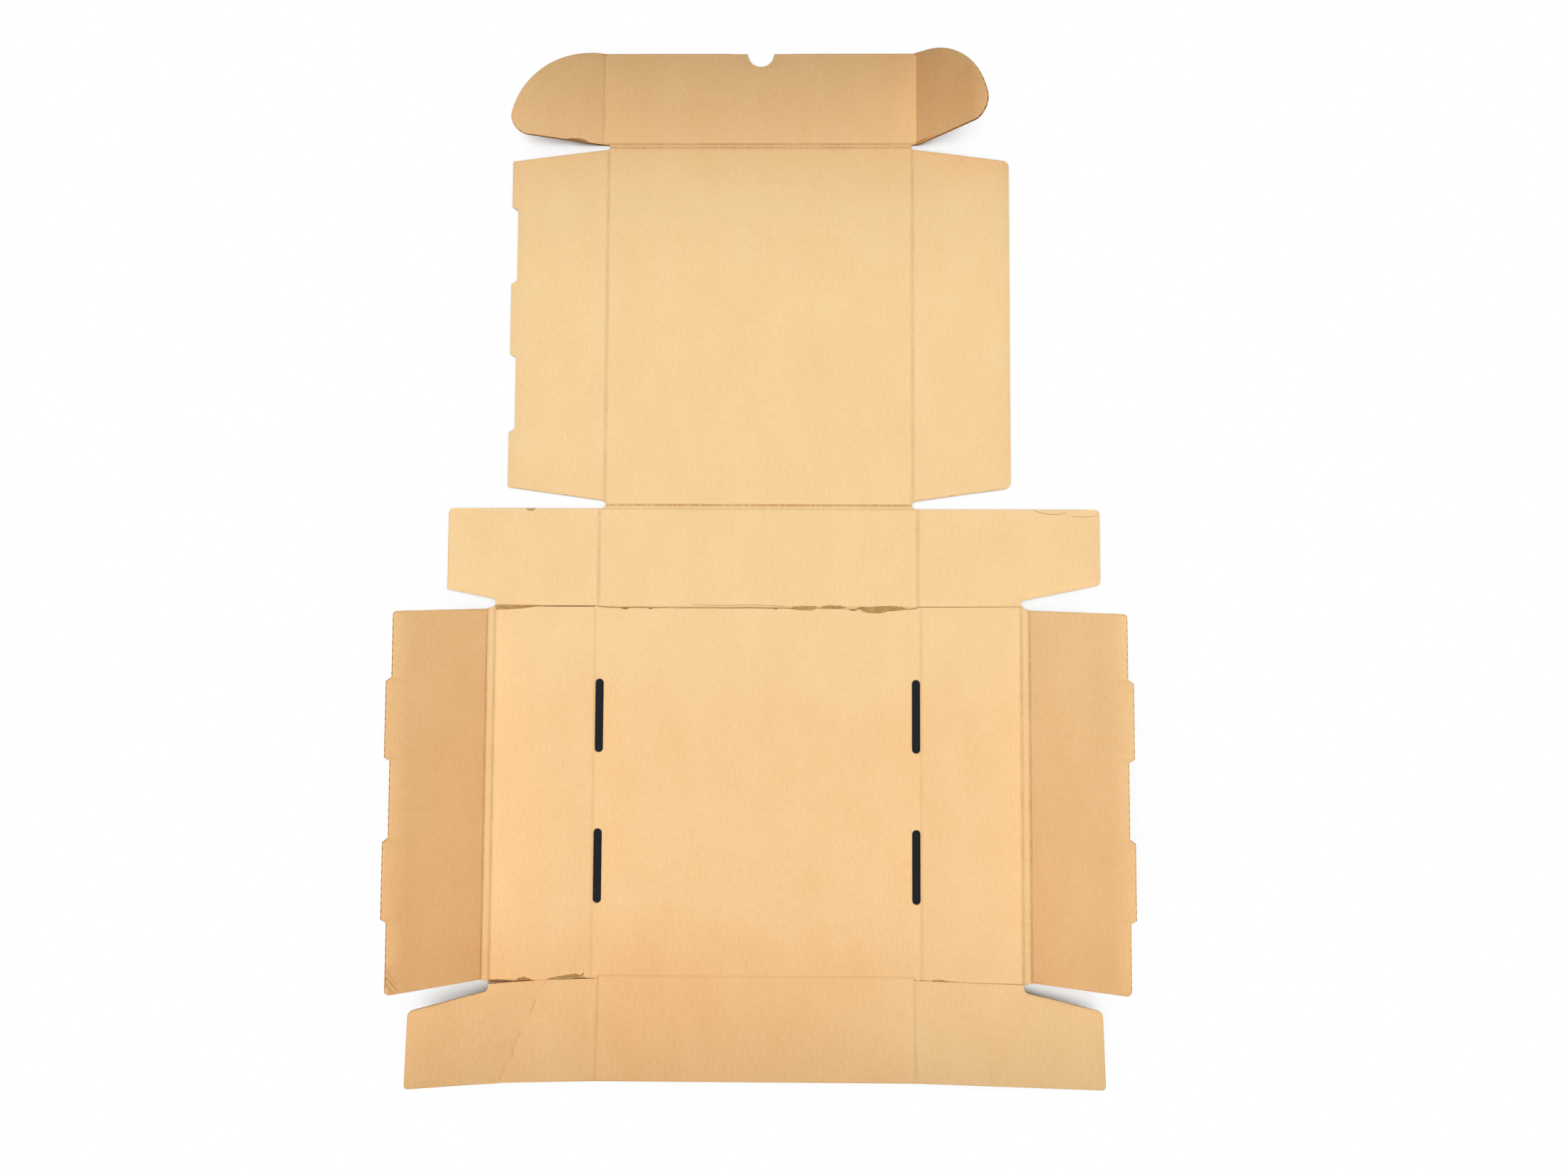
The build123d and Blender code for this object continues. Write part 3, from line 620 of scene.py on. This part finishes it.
def filled_layout(outline, holes, step, rings=(), lines=(), dots=()):
    """Triangles that fill the flat blank, with lines of points along the flutes.

    A constrained Delaunay triangulation of the outline, the holes, more rings and lines, and
    rows a step apart. Gives the corners and the triangles, of which some may lie outside."""
    rows = mesh_rows(step)
    points, edges, count = [], [], 0
    for ring in [outline, *holes, *rings]:
        ring = divided_ring(ring, rows)
        index = count + np.arange(len(ring))
        points.append(ring)
        edges.append(np.stack([index, np.roll(index, -1)], 1))
        count += len(ring)
    for line in lines:
        points.append(line)
        edges.append(np.array([[count, count + 1]]))
        count += 2
    points += dots
    count += sum(map(len, dots))
    level, left, right = row_spans([outline, *holes], rows)
    place, number = row_columns(rows[level], left, right)
    points.append(np.stack([place, rows[level[number]]], 1))
    joined = np.nonzero(number[1:] == number[:-1])[0]
    edges.append(count + np.stack([joined, joined + 1], 1))
    flat = [Vector(point) for point in np.concatenate(points).tolist()]
    filled = geometry.delaunay_2d_cdt(flat, np.concatenate(edges).tolist(), [], 1, WELD)
    corners = np.array([tuple(point) for point in filled[0]])
    triangles = np.array(filled[2])
    first, second, third = (corners[triangles[:, k]] for k in range(3))
    one_side, other_side = second - first, third - first
    turn = one_side[:, 0] * other_side[:, 1] - one_side[:, 1] * other_side[:, 0]
    triangles[turn < 0] = triangles[turn < 0][:, ::-1]
    return corners, triangles[np.abs(turn) > NOTHING]


def on_board(middles, outline, holes, nick):
    """Which points lie on the board: inside its outline or the uncut nick, and in no hole."""
    kept = inside_ring(middles, outline) | inside_ring(middles, nick)
    for hole in holes:
        kept &= ~inside_ring(middles, hole)
    return kept


def on_rings(corners, rings, step):
    """Which corners lie on one of the rings.

    A place is told by one number: its x in hundredths, and a million times its y in hundredths."""
    rows = mesh_rows(step)
    given = np.concatenate([divided_ring(ring, rows) for ring in rings])
    places = [np.round(points * 100) @ (1, 1e6) for points in (corners, given)]
    return np.isin(*places)


def segment_distance(x, y, start, end):
    """Distance from points to a straight piece between two ends."""
    along = np.array(end) - np.array(start)
    share = ((x - start[0]) * along[0] + (y - start[1]) * along[1]) / (along @ along)
    share = np.clip(share, 0, 1)
    return np.hypot(x - start[0] - share * along[0], y - start[1] - share * along[1])


def uneven(along, across, short, long):
    """1, give or take a slow wave: a sine along a line, itself shifted by a longer sine."""
    shift, drift = 3, 90
    wave = along / short + shift * np.sin(along / long) + across / drift
    return 1 + UNEVENNESS * np.sin(wave)


def crease_loss(x, y):
    """Thickness that creases and wrinkles press out of the board, in millimetres.

    Each groove is a bell curve across its line. Along Y it deepens and eases a little with the
    flutes under it, and a slow wave makes each groove uneven along its length."""
    distance = np.abs(x)
    beads = 1 + FLUTE_BEADS * np.cos(2 * pi * y / FLUTE_PITCH)
    uneven_y = uneven(y, x, short=11.0, long=47.0)
    uneven_x = uneven(x, y, short=13.0, long=41.0)
    loss = np.zeros_like(x)
    for crease, start, end, depth in UPRIGHT_CREASES:
        on_side = (y > start - UPRIGHT_OVERRUN) & (y < end + UPRIGHT_OVERRUN)
        groove = depth * beads * uneven_y * np.exp(-(((distance - crease) / CREASE_WIDTH) ** 2))
        loss = np.where(on_side, np.maximum(loss, groove), loss)
    for line, half, depth, width in LEVEL_CREASES:
        groove = depth * uneven_x * np.exp(-(((y - line) / width) ** 2))
        loss = np.where(distance < half + LEVEL_OVERRUN, np.maximum(loss, groove), loss)
    for start, end, depth, width in WRINKLES:
        groove = depth * np.exp(-((segment_distance(x, y, start, end) / width) ** 2))
        loss = np.maximum(loss, groove)
    return loss


def torn_depth(x, y):
    """How far a torn face lies below the liner's: a depth give or take a wavering sine along Y."""
    turn_along, turn_across, shift = 0.6, 9.1, 1.3
    wave = turn_across * y + shift * np.sin(turn_along * x)
    return TORN_DEPTH + TORN_ROUGHNESS * np.sin(wave)


def ramp(value, start, end):
    """0 before the start and 1 past the end, with a smooth step between."""
    share = np.clip((value - start) / (end - start), 0, 1)
    return share * share * (3 - 2 * share)


def painted_shade_amount(x, y):
    """Painted shade: how far the paper is tinted darker and browner, more towards both ends of the
    blank and on the inner flaps.

    The front panel has a painted shadow in its middle, and the right ear more painted shade than
    the tuck panel."""
    distance = np.abs(x)
    base = BASE_PAINTED_SHADE * ramp(y, *BASE_FADE)
    front_middle = FRONT_MIDDLE_PAINTED_SHADOW * ramp(distance, *FRONT_MIDDLE_FADE)
    front = ramp(y, *FRONT_FADE) * (FRONT_PAINTED_SHADE + FRONT_PAINTED_SHADE_ACROSS * x + front_middle)
    right_ear = RIGHT_EAR_PAINTED_SHADE * ramp(x, *RIGHT_EAR_FADE)
    lid_end = ramp(y, *TUCK_FADE) * (TUCK_PAINTED_SHADE + right_ear)
    flaps = ramp(distance, *FLAP_FADE) * ramp(y, *FLAP_BACK_FADE) * ramp(y, *FLAP_FRONT_FADE)
    flaps *= FLAP_PAINTED_SHADE + FLAP_PAINTED_SHADE_ACROSS * x + FLAP_PAINTED_SHADE_ALONG * y
    return np.clip(np.max([base, front, lid_end, flaps], axis=0), 0, 1)


def bend(u, w, crease, rise, radius=BEND_RADIUS):
    """Turns what lies beyond a crease up by an angle, round an arc tangent to both undersides.

    u runs across the crease and w up from the underside. Within the arc's tangent length the
    turn grows evenly, so that both panels keep the planes that a sharp fold would give them."""
    angle = radians(rise)
    reach = radius * tan(angle / 2)
    d = u - crease
    turn = np.clip((d + reach) / (2 * reach), 0, 1) * angle
    arc_u = crease - reach + (radius - w) * np.sin(turn)
    arc_w = radius - (radius - w) * np.cos(turn)
    far_u = crease + d * cos(angle) - w * sin(angle)
    far_w = d * sin(angle) + w * cos(angle)
    bent_u = np.where(d < -reach, u, np.where(d > reach, far_u, arc_u))
    bent_w = np.where(d < -reach, w, np.where(d > reach, far_w, arc_w))
    return bent_u, bent_w


def sprung(x, y, height):
    """Places of the board's points once its flaps have sprung up: the outer creases bend first.

    The front flaps are all that lies beyond the front slits, and between them, with room for the
    bend's arc, beyond the front crease."""
    arc_room = 1
    x, y, z = x.copy(), y.copy(), height.copy()
    slant = np.maximum(np.abs(x) - BASE_HALF, 0) * tan(radians(FRONT_SLIT_ANGLE))
    slit = WALL_FRONT - SLIT / 2 - slant
    front = ((np.abs(x) < FRONT_HALF + SLIT / 2) & (y < FRONT_LINE + arc_room)) | (y < slit)
    ear = y > TUCK_NOTCH[1]
    wall = (y < WALL_BACK + SLIT / 2) & ~front
    for side in SIDES:
        mine = np.sign(x) == side
        chosen = mine & wall
        u, w = side * x[chosen], z[chosen]
        u, w = bend(u, w, FLAP_START, INNER_FLAP_RISE[side] - ROLLOVER_RISE[side])
        u, w = bend(u, w, WALL_TOP, ROLLOVER_RISE[side] - WALL_RISE)
        u, w = bend(u, w, BASE_HALF, WALL_RISE)
        x[chosen], z[chosen] = side * u, w
        chosen = mine & ear
        u, w = bend(side * x[chosen], z[chosen], TUCK_HALF, EAR_RISE[side])
        x[chosen], z[chosen] = side * u, w
    flap = front & (x < -FRONT_HALF)
    along = np.array(KINK_END) - np.array(KINK_START)
    along /= np.linalg.norm(along)
    across = np.array([along[1], -along[0]])
    from_start = np.stack([x[flap] - KINK_START[0], y[flap] - KINK_START[1]], 1)
    u, w = bend(from_start @ across, z[flap], 0.0, KINK_RISE, KINK_RADIUS)
    v = from_start @ along
    x[flap] = KINK_START[0] + u * across[0] + v * along[0]
    y[flap] = KINK_START[1] + u * across[1] + v * along[1]
    z[flap] = w
    for side in SIDES:
        chosen = front & (np.sign(x) == side)
        u, w = bend(side * x[chosen], z[chosen], FRONT_HALF, FRONT_DUST_RISE[side])
        x[chosen], z[chosen] = side * u, w
    u, w = bend(-y[front], z[front], -FRONT_LINE, FRONT_RISE)
    y[front], z[front] = -u, w
    return np.stack([x, y, z], 1)


def closed_sheet(name, corners, triangles, lower, upper, crush, materials, torn=None, dip=0.0):
    """A closed sheet of paper from flat triangles and the functions of its two faces' heights.

    It has the triangles at the upper height, the same turned over at the lower one, and a wall
    of quads round every free edge. Heights are above the board's underside. Creases and the
    crushed edges thin the whole board, and the dip lowers the upper face alone. Torn triangles
    take the second material. The flat layout is kept as the sheet's UV map."""
    used, faces = np.unique(triangles, return_inverse=True)
    faces = faces.reshape(-1, 3)
    x, y = corners[used].T
    pressed = crease_loss(x, y)
    thinning = 1 - np.maximum(pressed, crush[used]) / BOARD
    lowered = np.broadcast_to(dip, len(corners))[used]
    top = sprung(x, y, upper(y) * thinning - lowered)
    under = sprung(x, y, lower(y) * thinning)
    count = len(used)
    sides = np.concatenate([faces[:, [0, 1]], faces[:, [1, 2]], faces[:, [2, 0]]])
    keys = sides.min(axis=1) * count + sides.max(axis=1)
    _, first, uses = np.unique(keys, return_index=True, return_counts=True)
    rim = sides[first[uses == 1]]
    wall = np.stack([rim[:, 1], rim[:, 0], rim[:, 0] + count, rim[:, 1] + count], 1)
    loops = np.concatenate([faces.ravel(), (faces[:, ::-1] + count).ravel(), wall.ravel()])
    sizes = np.concatenate([np.full(2 * len(faces), 3), np.full(len(wall), 4)])
    starts = np.concatenate([[0], np.cumsum(sizes)[:-1]])
    mesh = bpy.data.meshes.new(name)
    mesh.vertices.add(2 * count)
    mesh.vertices.foreach_set("co", (np.concatenate([top, under]) * MM).ravel())
    mesh.loops.add(len(loops))
    mesh.loops.foreach_set("vertex_index", loops.astype(np.int32))
    mesh.polygons.add(len(sizes))
    mesh.polygons.foreach_set("loop_start", starts.astype(np.int32))
    for material in materials:
        mesh.materials.append(material)
    if torn is not None:
        kinds = np.zeros(len(sizes), np.int32)
        kinds[: len(faces)] = torn
        mesh.polygons.foreach_set("material_index", kinds)
    mesh.update(calc_edges=True)
    flat = np.stack([x, y], 1) * MM
    layout = mesh.uv_layers.new(name="layout")
    layout.data.foreach_set("uv", np.concatenate([flat, flat])[loops].ravel())
    # Painted shade: its amount at each point is kept as an attribute for the liners' material.
    for label, values in (("pressed", pressed), ("painted_shade", painted_shade_amount(x, y))):
        attribute = mesh.attributes.new(label, "FLOAT", "POINT")
        attribute.data.foreach_set("value", np.concatenate([values, values]))
    mesh.shade_smooth()
    mesh.set_sharp_from_angle(angle=radians(SHARP_ANGLE))
    piece = bpy.data.objects.new(name, mesh)
    bpy.context.collection.objects.link(piece)
    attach(piece, "root")
    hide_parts("mailer_blank")


def flute_wave(y):
    """Height of the medium's middle above the board's middle: one sine wave for each flute."""
    return FLUTE_SWING * np.cos(2 * pi * y / FLUTE_PITCH)


def medium_half(y):
    """Half the medium's height through its slope, which keeps its own thickness along the wave."""
    slope = 2 * pi * FLUTE_SWING / FLUTE_PITCH * np.sin(2 * pi * y / FLUTE_PITCH)
    return MEDIUM / 2 * np.sqrt(1 + slope**2)


def medium_top(y):
    """The medium's upper face: half its height above its wave."""
    return BOARD / 2 + flute_wave(y) + medium_half(y)


def medium_bottom(y):
    """The medium's lower face: half its height below its wave."""
    return BOARD / 2 + flute_wave(y) - medium_half(y)


def inside_top(y):
    """The inside liner sinks a little between the flute tips that it is glued to."""
    return BOARD - WASHBOARD * (1 - np.cos(2 * pi * y / FLUTE_PITCH))


def inside_bottom(y):
    """The inside liner's lower face, a liner's thickness below its upper one."""
    return inside_top(y) - LINER


def outside_bottom(y):
    """The outside liner does the same between the lower tips."""
    return WASHBOARD * (1 + np.cos(2 * pi * y / FLUTE_PITCH))


def outside_top(y):
    """The outside liner's upper face, a liner's thickness above its lower one."""
    return outside_bottom(y) + LINER


def linear(hex_colour):
    """A colour written as sRGB hex, turned into linear red, green, blue and full alpha."""
    values = [int(hex_colour[k : k + 2], 16) / 255 for k in (1, 3, 5)]
    return [v / 12.92 if v <= 0.04045 else ((v + 0.055) / 1.055) ** 2.4 for v in values] + [1.0]


def node(tree, kind, settings=None, **inputs):
    """Adds a shader node to a tree with its settings, its values and its links.

    Settings are the node's own properties. Inputs are values, or nodes or sockets to link from,
    where a node stands for its first output. An input called i0 or i1 goes by its number."""
    added = tree.nodes.new("ShaderNode" + kind)
    for key, value in (settings or {}).items():
        setattr(added, key, value)
    for key, value in inputs.items():
        place = int(key[1:]) if key[0] == "i" and key[1:].isdigit() else key.replace("_", " ")
        if isinstance(value, bpy.types.Node):
            value = value.outputs[0]
        if isinstance(value, bpy.types.NodeSocket):
            tree.links.new(value, added.inputs[place])
        else:
            added.inputs[place].default_value = value
    return added


def new_material(name):
    """An empty material and its node tree."""
    material = bpy.data.materials.new(name)
    material.use_nodes = True
    material.node_tree.nodes.clear()
    return material, material.node_tree


RGBA = {"data_type": "RGBA"}
MULTIPLY = {"operation": "MULTIPLY"}
MULTIPLY_ADD = {"operation": "MULTIPLY_ADD"}
FLAT_NOISE = {"noise_dimensions": "2D"}


def grain(tree, layout, width, length, detail=2.0):
    """Noise with grains so many millimetres wide along X and so many long along Y."""
    scale = (PER_METRE / width, PER_METRE / length, 1.0)
    place = node(tree, "Mapping", Vector=layout, Scale=scale)
    return node(tree, "TexNoise", FLAT_NOISE, Vector=place, Scale=1.0, Detail=detail)


def specks(tree, layout, spacing, size, share):
    """1 on scattered specks: cells so many millimetres apart, of which a share hold one.

    The specks are longer along X and have soft rims."""
    stretch, core = 1.4, 0.3
    scale = (PER_METRE / spacing, stretch * PER_METRE / spacing, 1.0)
    place = node(tree, "Mapping", Vector=layout, Scale=scale)
    plane = {"voronoi_dimensions": "2D"}
    cells = node(tree, "TexVoronoi", plane, Vector=place, Scale=1.0).outputs
    chosen = node(tree, "Math", {"operation": "LESS_THAN"}, i0=cells["Color"], i1=share)
    reach = size / spacing
    dot = cells["Distance"]
    near = node(tree, "MapRange", Value=dot, From_Min=reach, From_Max=core * reach)
    return node(tree, "Math", MULTIPLY, i0=chosen, i1=near)


def finished_paper(material, tree, shade, relief, depth):
    """Ends a paper's material: a matt dielectric with its fibres as a fine relief."""
    bump = node(tree, "Bump", Strength=0.5, Distance=depth * MM, Height=relief)
    paper = node(tree, "BsdfPrincipled", Base_Color=shade, Roughness=0.86, IOR=1.46, Normal=bump)
    node(tree, "OutputMaterial", Surface=paper)
    return material


def kraft_liner(name):
    """Kraft liner, drawn on a paper machine and calendered: matt, even, tan, with faint flocks.

    Its fibres are finer than a pixel of the photograph, so they are drawn 0.5 mm wide. It is
    darker where a crease presses it, from crushed fibres with painted shade in the groove, and has
    tiny dark and pale specks. It also takes painted shade, a darker and browner tone, where the
    light falls off and the panels tilt away."""
    material, tree = new_material(name)
    layout = node(tree, "UVMap", {"uv_map": "layout"})
    clouds = grain(tree, layout, width=34.0, length=60.0)
    flocks = grain(tree, layout, width=2.4, length=7.0, detail=3.0)
    fibres = grain(tree, layout, width=0.5, length=3.2, detail=1.0)
    cloud_share, fibre_share = 0.7, 0.6
    tone = node(tree, "Math", MULTIPLY_ADD, i0=clouds, i1=cloud_share, i2=flocks)
    tone = node(tree, "Math", MULTIPLY_ADD, i0=fibres, i1=fibre_share, i2=tone)
    tone = node(tree, "MapRange", Value=tone, From_Min=0.7, From_Max=1.6)
    # Painted shade: the paper is mixed towards a darker, browner kraft by the amount in its attribute.
    painted_shade = node(tree, "Attribute", {"attribute_name": "painted_shade"}).outputs["Fac"]
    dark, pale = map(linear, EVEN_KRAFT)
    even = node(tree, "Mix", RGBA, i0=tone, i6=dark, i7=pale).outputs[2]
    dark, pale = map(linear, PAINTED_SHADE_KRAFT)
    shaded_kraft = node(tree, "Mix", RGBA, i0=tone, i6=dark, i7=pale).outputs[2]
    shade = node(tree, "Mix", RGBA, i0=painted_shade, i6=even, i7=shaded_kraft).outputs[2]
    dots = specks(tree, layout, spacing=6.0, size=0.42, share=0.16)
    shade = node(tree, "Mix", RGBA, i0=dots, i6=shade, i7=linear(DARK_SPECK)).outputs[2]
    dots = specks(tree, layout, spacing=9.0, size=0.42, share=0.14)
    shade = node(tree, "Mix", RGBA, i0=dots, i6=shade, i7=linear(PALE_SPECK)).outputs[2]
    # Darker along the creases: crushed, scuffed fibres with painted shade in the grooves.
    pressed = node(tree, "Attribute", {"attribute_name": "pressed"}).outputs["Fac"]
    crease_wear_and_shade = node(tree, "MapRange", Value=pressed, From_Min=0.05, From_Max=1.0, To_Max=0.55)
    patchy = node(
        tree, "MapRange", Value=flocks, From_Min=0.3, From_Max=0.6, To_Min=0.5, To_Max=1.2
    )
    crease_wear_and_shade = node(tree, "Math", MULTIPLY, i0=crease_wear_and_shade, i1=patchy)
    crease_wear_and_shade_colour = linear(CREASE_WEAR_AND_SHADE_KRAFT)
    shade = node(tree, "Mix", RGBA, i0=crease_wear_and_shade, i6=shade, i7=crease_wear_and_shade_colour).outputs[2]
    relief = node(tree, "Math", {"operation": "ADD"}, i0=fibres, i1=flocks)
    return finished_paper(material, tree, shade, relief, depth=0.045)


def torn_liner():
    """Kraft liner torn through its thickness: duller, with long loose fibres lying along X.

    They too are drawn thicker than they are, 0.4 mm, so that they show."""
    material, tree = new_material("torn_kraft_ply")
    layout = node(tree, "UVMap", {"uv_map": "layout"})
    streaks = grain(tree, layout, width=9.0, length=0.8, detail=3.0)
    fibres = grain(tree, layout, width=2.2, length=0.4, detail=2.0)
    fibre_share = 0.7
    tone = node(tree, "Math", MULTIPLY_ADD, i0=fibres, i1=fibre_share, i2=streaks)
    tone = node(tree, "MapRange", Value=tone, From_Min=0.62, From_Max=1.1)
    dark, pale = map(linear, TORN_KRAFT)
    shade = node(tree, "Mix", RGBA, i0=tone, i6=dark, i7=pale).outputs[2]
    return finished_paper(material, tree, shade, tone, depth=0.25)


def fluting_medium():
    """Recycled fluting paper, corrugated hot: duller, browner and rougher than the liners."""
    material, tree = new_material("fluting_medium")
    layout = node(tree, "UVMap", {"uv_map": "layout"})
    flocks = grain(tree, layout, width=1.6, length=1.6, detail=3.0)
    dark, pale = map(linear, RECYCLED_PAPER)
    shade = node(tree, "Mix", RGBA, i0=flocks, i6=dark, i7=pale).outputs[2]
    return finished_paper(material, tree, shade, flocks, depth=0.12)


def seen_directly(tree):
    """1 for rays from the camera and for those that a mirror or glass passes on."""
    path = node(tree, "LightPath").outputs
    most = {"operation": "MAXIMUM"}
    seen = node(tree, "Math", most, i0=path["Is Camera Ray"], i1=path["Is Glossy Ray"])
    return node(tree, "Math", most, i0=seen, i1=path["Is Transmission Ray"])


def white_floor():
    """A pale matt floor that the camera sees as near white, and that still takes shadows.

    It darkens where the board hides the sky above it: softly within 120 mm of the raised flaps,
    and more within the last millimetres before the board's edge."""
    material, tree = new_material("white_floor")
    smooth = {"interpolation_type": "SMOOTHSTEP"}
    looks = {"samples": 8}
    sky = node(tree, "AmbientOcclusion", looks, Distance=SOFT_SHADE * MM).outputs["AO"]
    open_sky = node(tree, "MapRange", smooth, Value=sky, From_Min=0.15, From_Max=0.75)
    near = node(tree, "AmbientOcclusion", looks, Distance=CONTACT_SHADE * MM).outputs["AO"]
    clear = node(tree, "MapRange", smooth, Value=near, From_Min=0.15, From_Max=0.88)
    share = node(tree, "Math", MULTIPLY, i0=seen_directly(tree), i1=open_sky)
    share = node(tree, "Math", MULTIPLY, i0=share, i1=clear)
    paint = node(tree, "BsdfDiffuse", Color=linear("#D4D3D0"))
    glow = node(tree, "Emission", Color=linear("#FFFFFF"), Strength=1.0)
    surface = node(tree, "MixShader", i0=share, i1=paint, i2=glow)
    node(tree, "OutputMaterial", Surface=surface)
    return material


def slot_shade():
    """The ground in the slots' own shade, which the photograph shows as near black."""
    material, tree = new_material("slot_shade")
    paint = node(tree, "BsdfDiffuse", Color=linear("#26282C"))
    node(tree, "OutputMaterial", Surface=paint)
    return material


def stage_floor():
    """A large floor that the blank lies on: rectangles in a grid, of which four in the slots are
    painted near black as painted shade.
    """
    halves = (-PAINTED_SHADE_HALF_WIDTH, PAINTED_SHADE_HALF_WIDTH)
    columns = [side * SLOT_X + half for side in SIDES for half in halves]
    halves = (-PAINTED_SHADE_HALF_LENGTH, PAINTED_SHADE_HALF_LENGTH)
    rows = [row + half for row in SLOT_ROWS for half in halves]
    columns = [-FLOOR_REACH, *columns, FLOOR_REACH]
    rows = [-FLOOR_REACH, *rows, FLOOR_REACH]
    x, y = np.meshgrid(np.array(columns) * MM, np.array(rows) * MM)
    places = np.stack([x.ravel(), y.ravel(), np.zeros(x.size)], 1)
    wide = len(columns)
    first = (np.arange(len(rows) - 1)[:, None] * wide + np.arange(wide - 1)).ravel()
    cells = np.stack([first, first + 1, first + 1 + wide, first + wide], 1)
    mesh = bpy.data.meshes.new("floor")
    mesh.from_pydata(places.tolist(), [], cells.tolist())
    mesh.materials.append(white_floor())
    mesh.materials.append(slot_shade())
    # The four cells under the slots take the near black painted shade.
    for row in (1, 3):
        for column in (1, 3):
            mesh.polygons[row * (wide - 1) + column].material_index = 1
    floor = bpy.data.objects.new("floor", mesh)
    bpy.context.collection.objects.link(floor)


def soft_light():
    """One wide soft box above the blank, a low even fill, and a white backdrop for the camera.

    The box's sizes and place are in metres. Its narrow spread keeps its light on the blank."""
    lamp = bpy.data.lights.new("soft_box", "AREA")
    lamp.shape = "RECTANGLE"
    lamp.size = 2.1
    lamp.size_y = 1.12
    lamp.spread = radians(42)
    lamp.energy = 7.05
    box = bpy.data.objects.new("soft_box", lamp)
    box.location = (0.0, 0.185, 0.9)
    box.visible_camera = False
    bpy.context.collection.objects.link(box)
    world = bpy.data.worlds.new("studio")
    world.use_nodes = True
    tree = world.node_tree
    tree.nodes.clear()
    fill = node(tree, "Background", Color=linear("#FFF1E0"), Strength=0.04)
    backdrop = node(tree, "Background", Color=linear("#FFFFFF"), Strength=1.0)
    surface = node(tree, "MixShader", i0=seen_directly(tree), i1=fill, i2=backdrop)
    node(tree, "OutputWorld", Surface=surface)
    bpy.context.scene.world = world


def photo_camera():
    """A wide camera looking down on the blank, a touch turned as the photograph is.

    Its place is in metres, and its turns in radians. Both were fitted to the creases' corners."""
    lens = bpy.data.cameras.new("camera")
    lens.sensor_width = 36.0
    lens.sensor_fit = "HORIZONTAL"
    lens.lens = 26.85
    camera = bpy.data.objects.new("camera", lens)
    camera.location = (0.0354, 0.1242, 1.0842)
    camera.rotation_euler = Euler((0.05714, 0.01028, 0.00417), "XYZ")
    bpy.context.collection.objects.link(camera)
    bpy.context.scene.camera = camera


# What Blender itself puts into a new file
for default in list(bpy.data.objects):
    if default.name in ("Cube", "Light", "Camera"):
        bpy.data.objects.remove(default)

# The flat blank's rings, of which each torn and cracked place has its own seed
outline, slots, nick = apart(blank_outline()), slot_outlines(), np.array(NICK)
tears = [torn_edge(points, seed) for seed, points in enumerate(TEARS)]
cracks = []
for seed, (width, points) in enumerate(CRACKS, len(TEARS)):
    cracks.append(crack_outline(points, width, seed))
crushed_rims = [inset(outline, EDGE_WIDTH), *(inset(slot, -EDGE_WIDTH) for slot in slots)]
scatter = [loose_grid(tear, seed) for seed, tear in enumerate(tears)]

# Both liners share one layout. The inside one is torn, and open where it is cracked.
rings = [*crushed_rims, *tears, *cracks, nick]
corners, triangles = filled_layout(outline, slots, LINER_STEP, rings, wrinkle_lines(), scatter)
middles = corners[triangles].mean(axis=1)
triangles = triangles[on_board(middles, outline, slots, nick)]
middles = corners[triangles].mean(axis=1)
in_tear = np.any([inside_ring(middles, tear) for tear in tears], axis=0)
in_crack = np.any([inside_ring(middles, crack) for crack in cracks], axis=0)
cut = on_rings(corners, [outline, *slots], LINER_STEP)
loose = np.any([inside_ring(corners, tear) for tear in tears], axis=0)
loose &= ~cut & ~on_rings(corners, [*tears, *cracks], LINER_STEP)
crush = EDGE_CRUSH * cut
closed_sheet(
    "inside_liner",
    corners,
    triangles[~in_crack],
    inside_bottom,
    inside_top,
    crush,
    [kraft_liner("kraft_liner_inside"), torn_liner()],
    torn=in_tear[~in_crack],
    dip=np.where(loose, torn_depth(*corners.T), 0.0),
)
outside_paper = [kraft_liner("kraft_liner_outside")]
closed_sheet("outside_liner", corners, triangles, outside_bottom, outside_top, crush, outside_paper)

# The medium has no tears, and closer rows for its waves
corners, triangles = filled_layout(outline, slots, MEDIUM_STEP, [nick], wrinkle_lines())
triangles = triangles[on_board(corners[triangles].mean(axis=1), outline, slots, nick)]
crush = EDGE_CRUSH * on_rings(corners, [outline, *slots], MEDIUM_STEP)
paper = [fluting_medium()]
closed_sheet("fluted_medium", corners, triangles, medium_bottom, medium_top, crush, paper)

stage_floor()
soft_light()
photo_camera()
bpy.context.scene.view_settings.view_transform = "Standard"
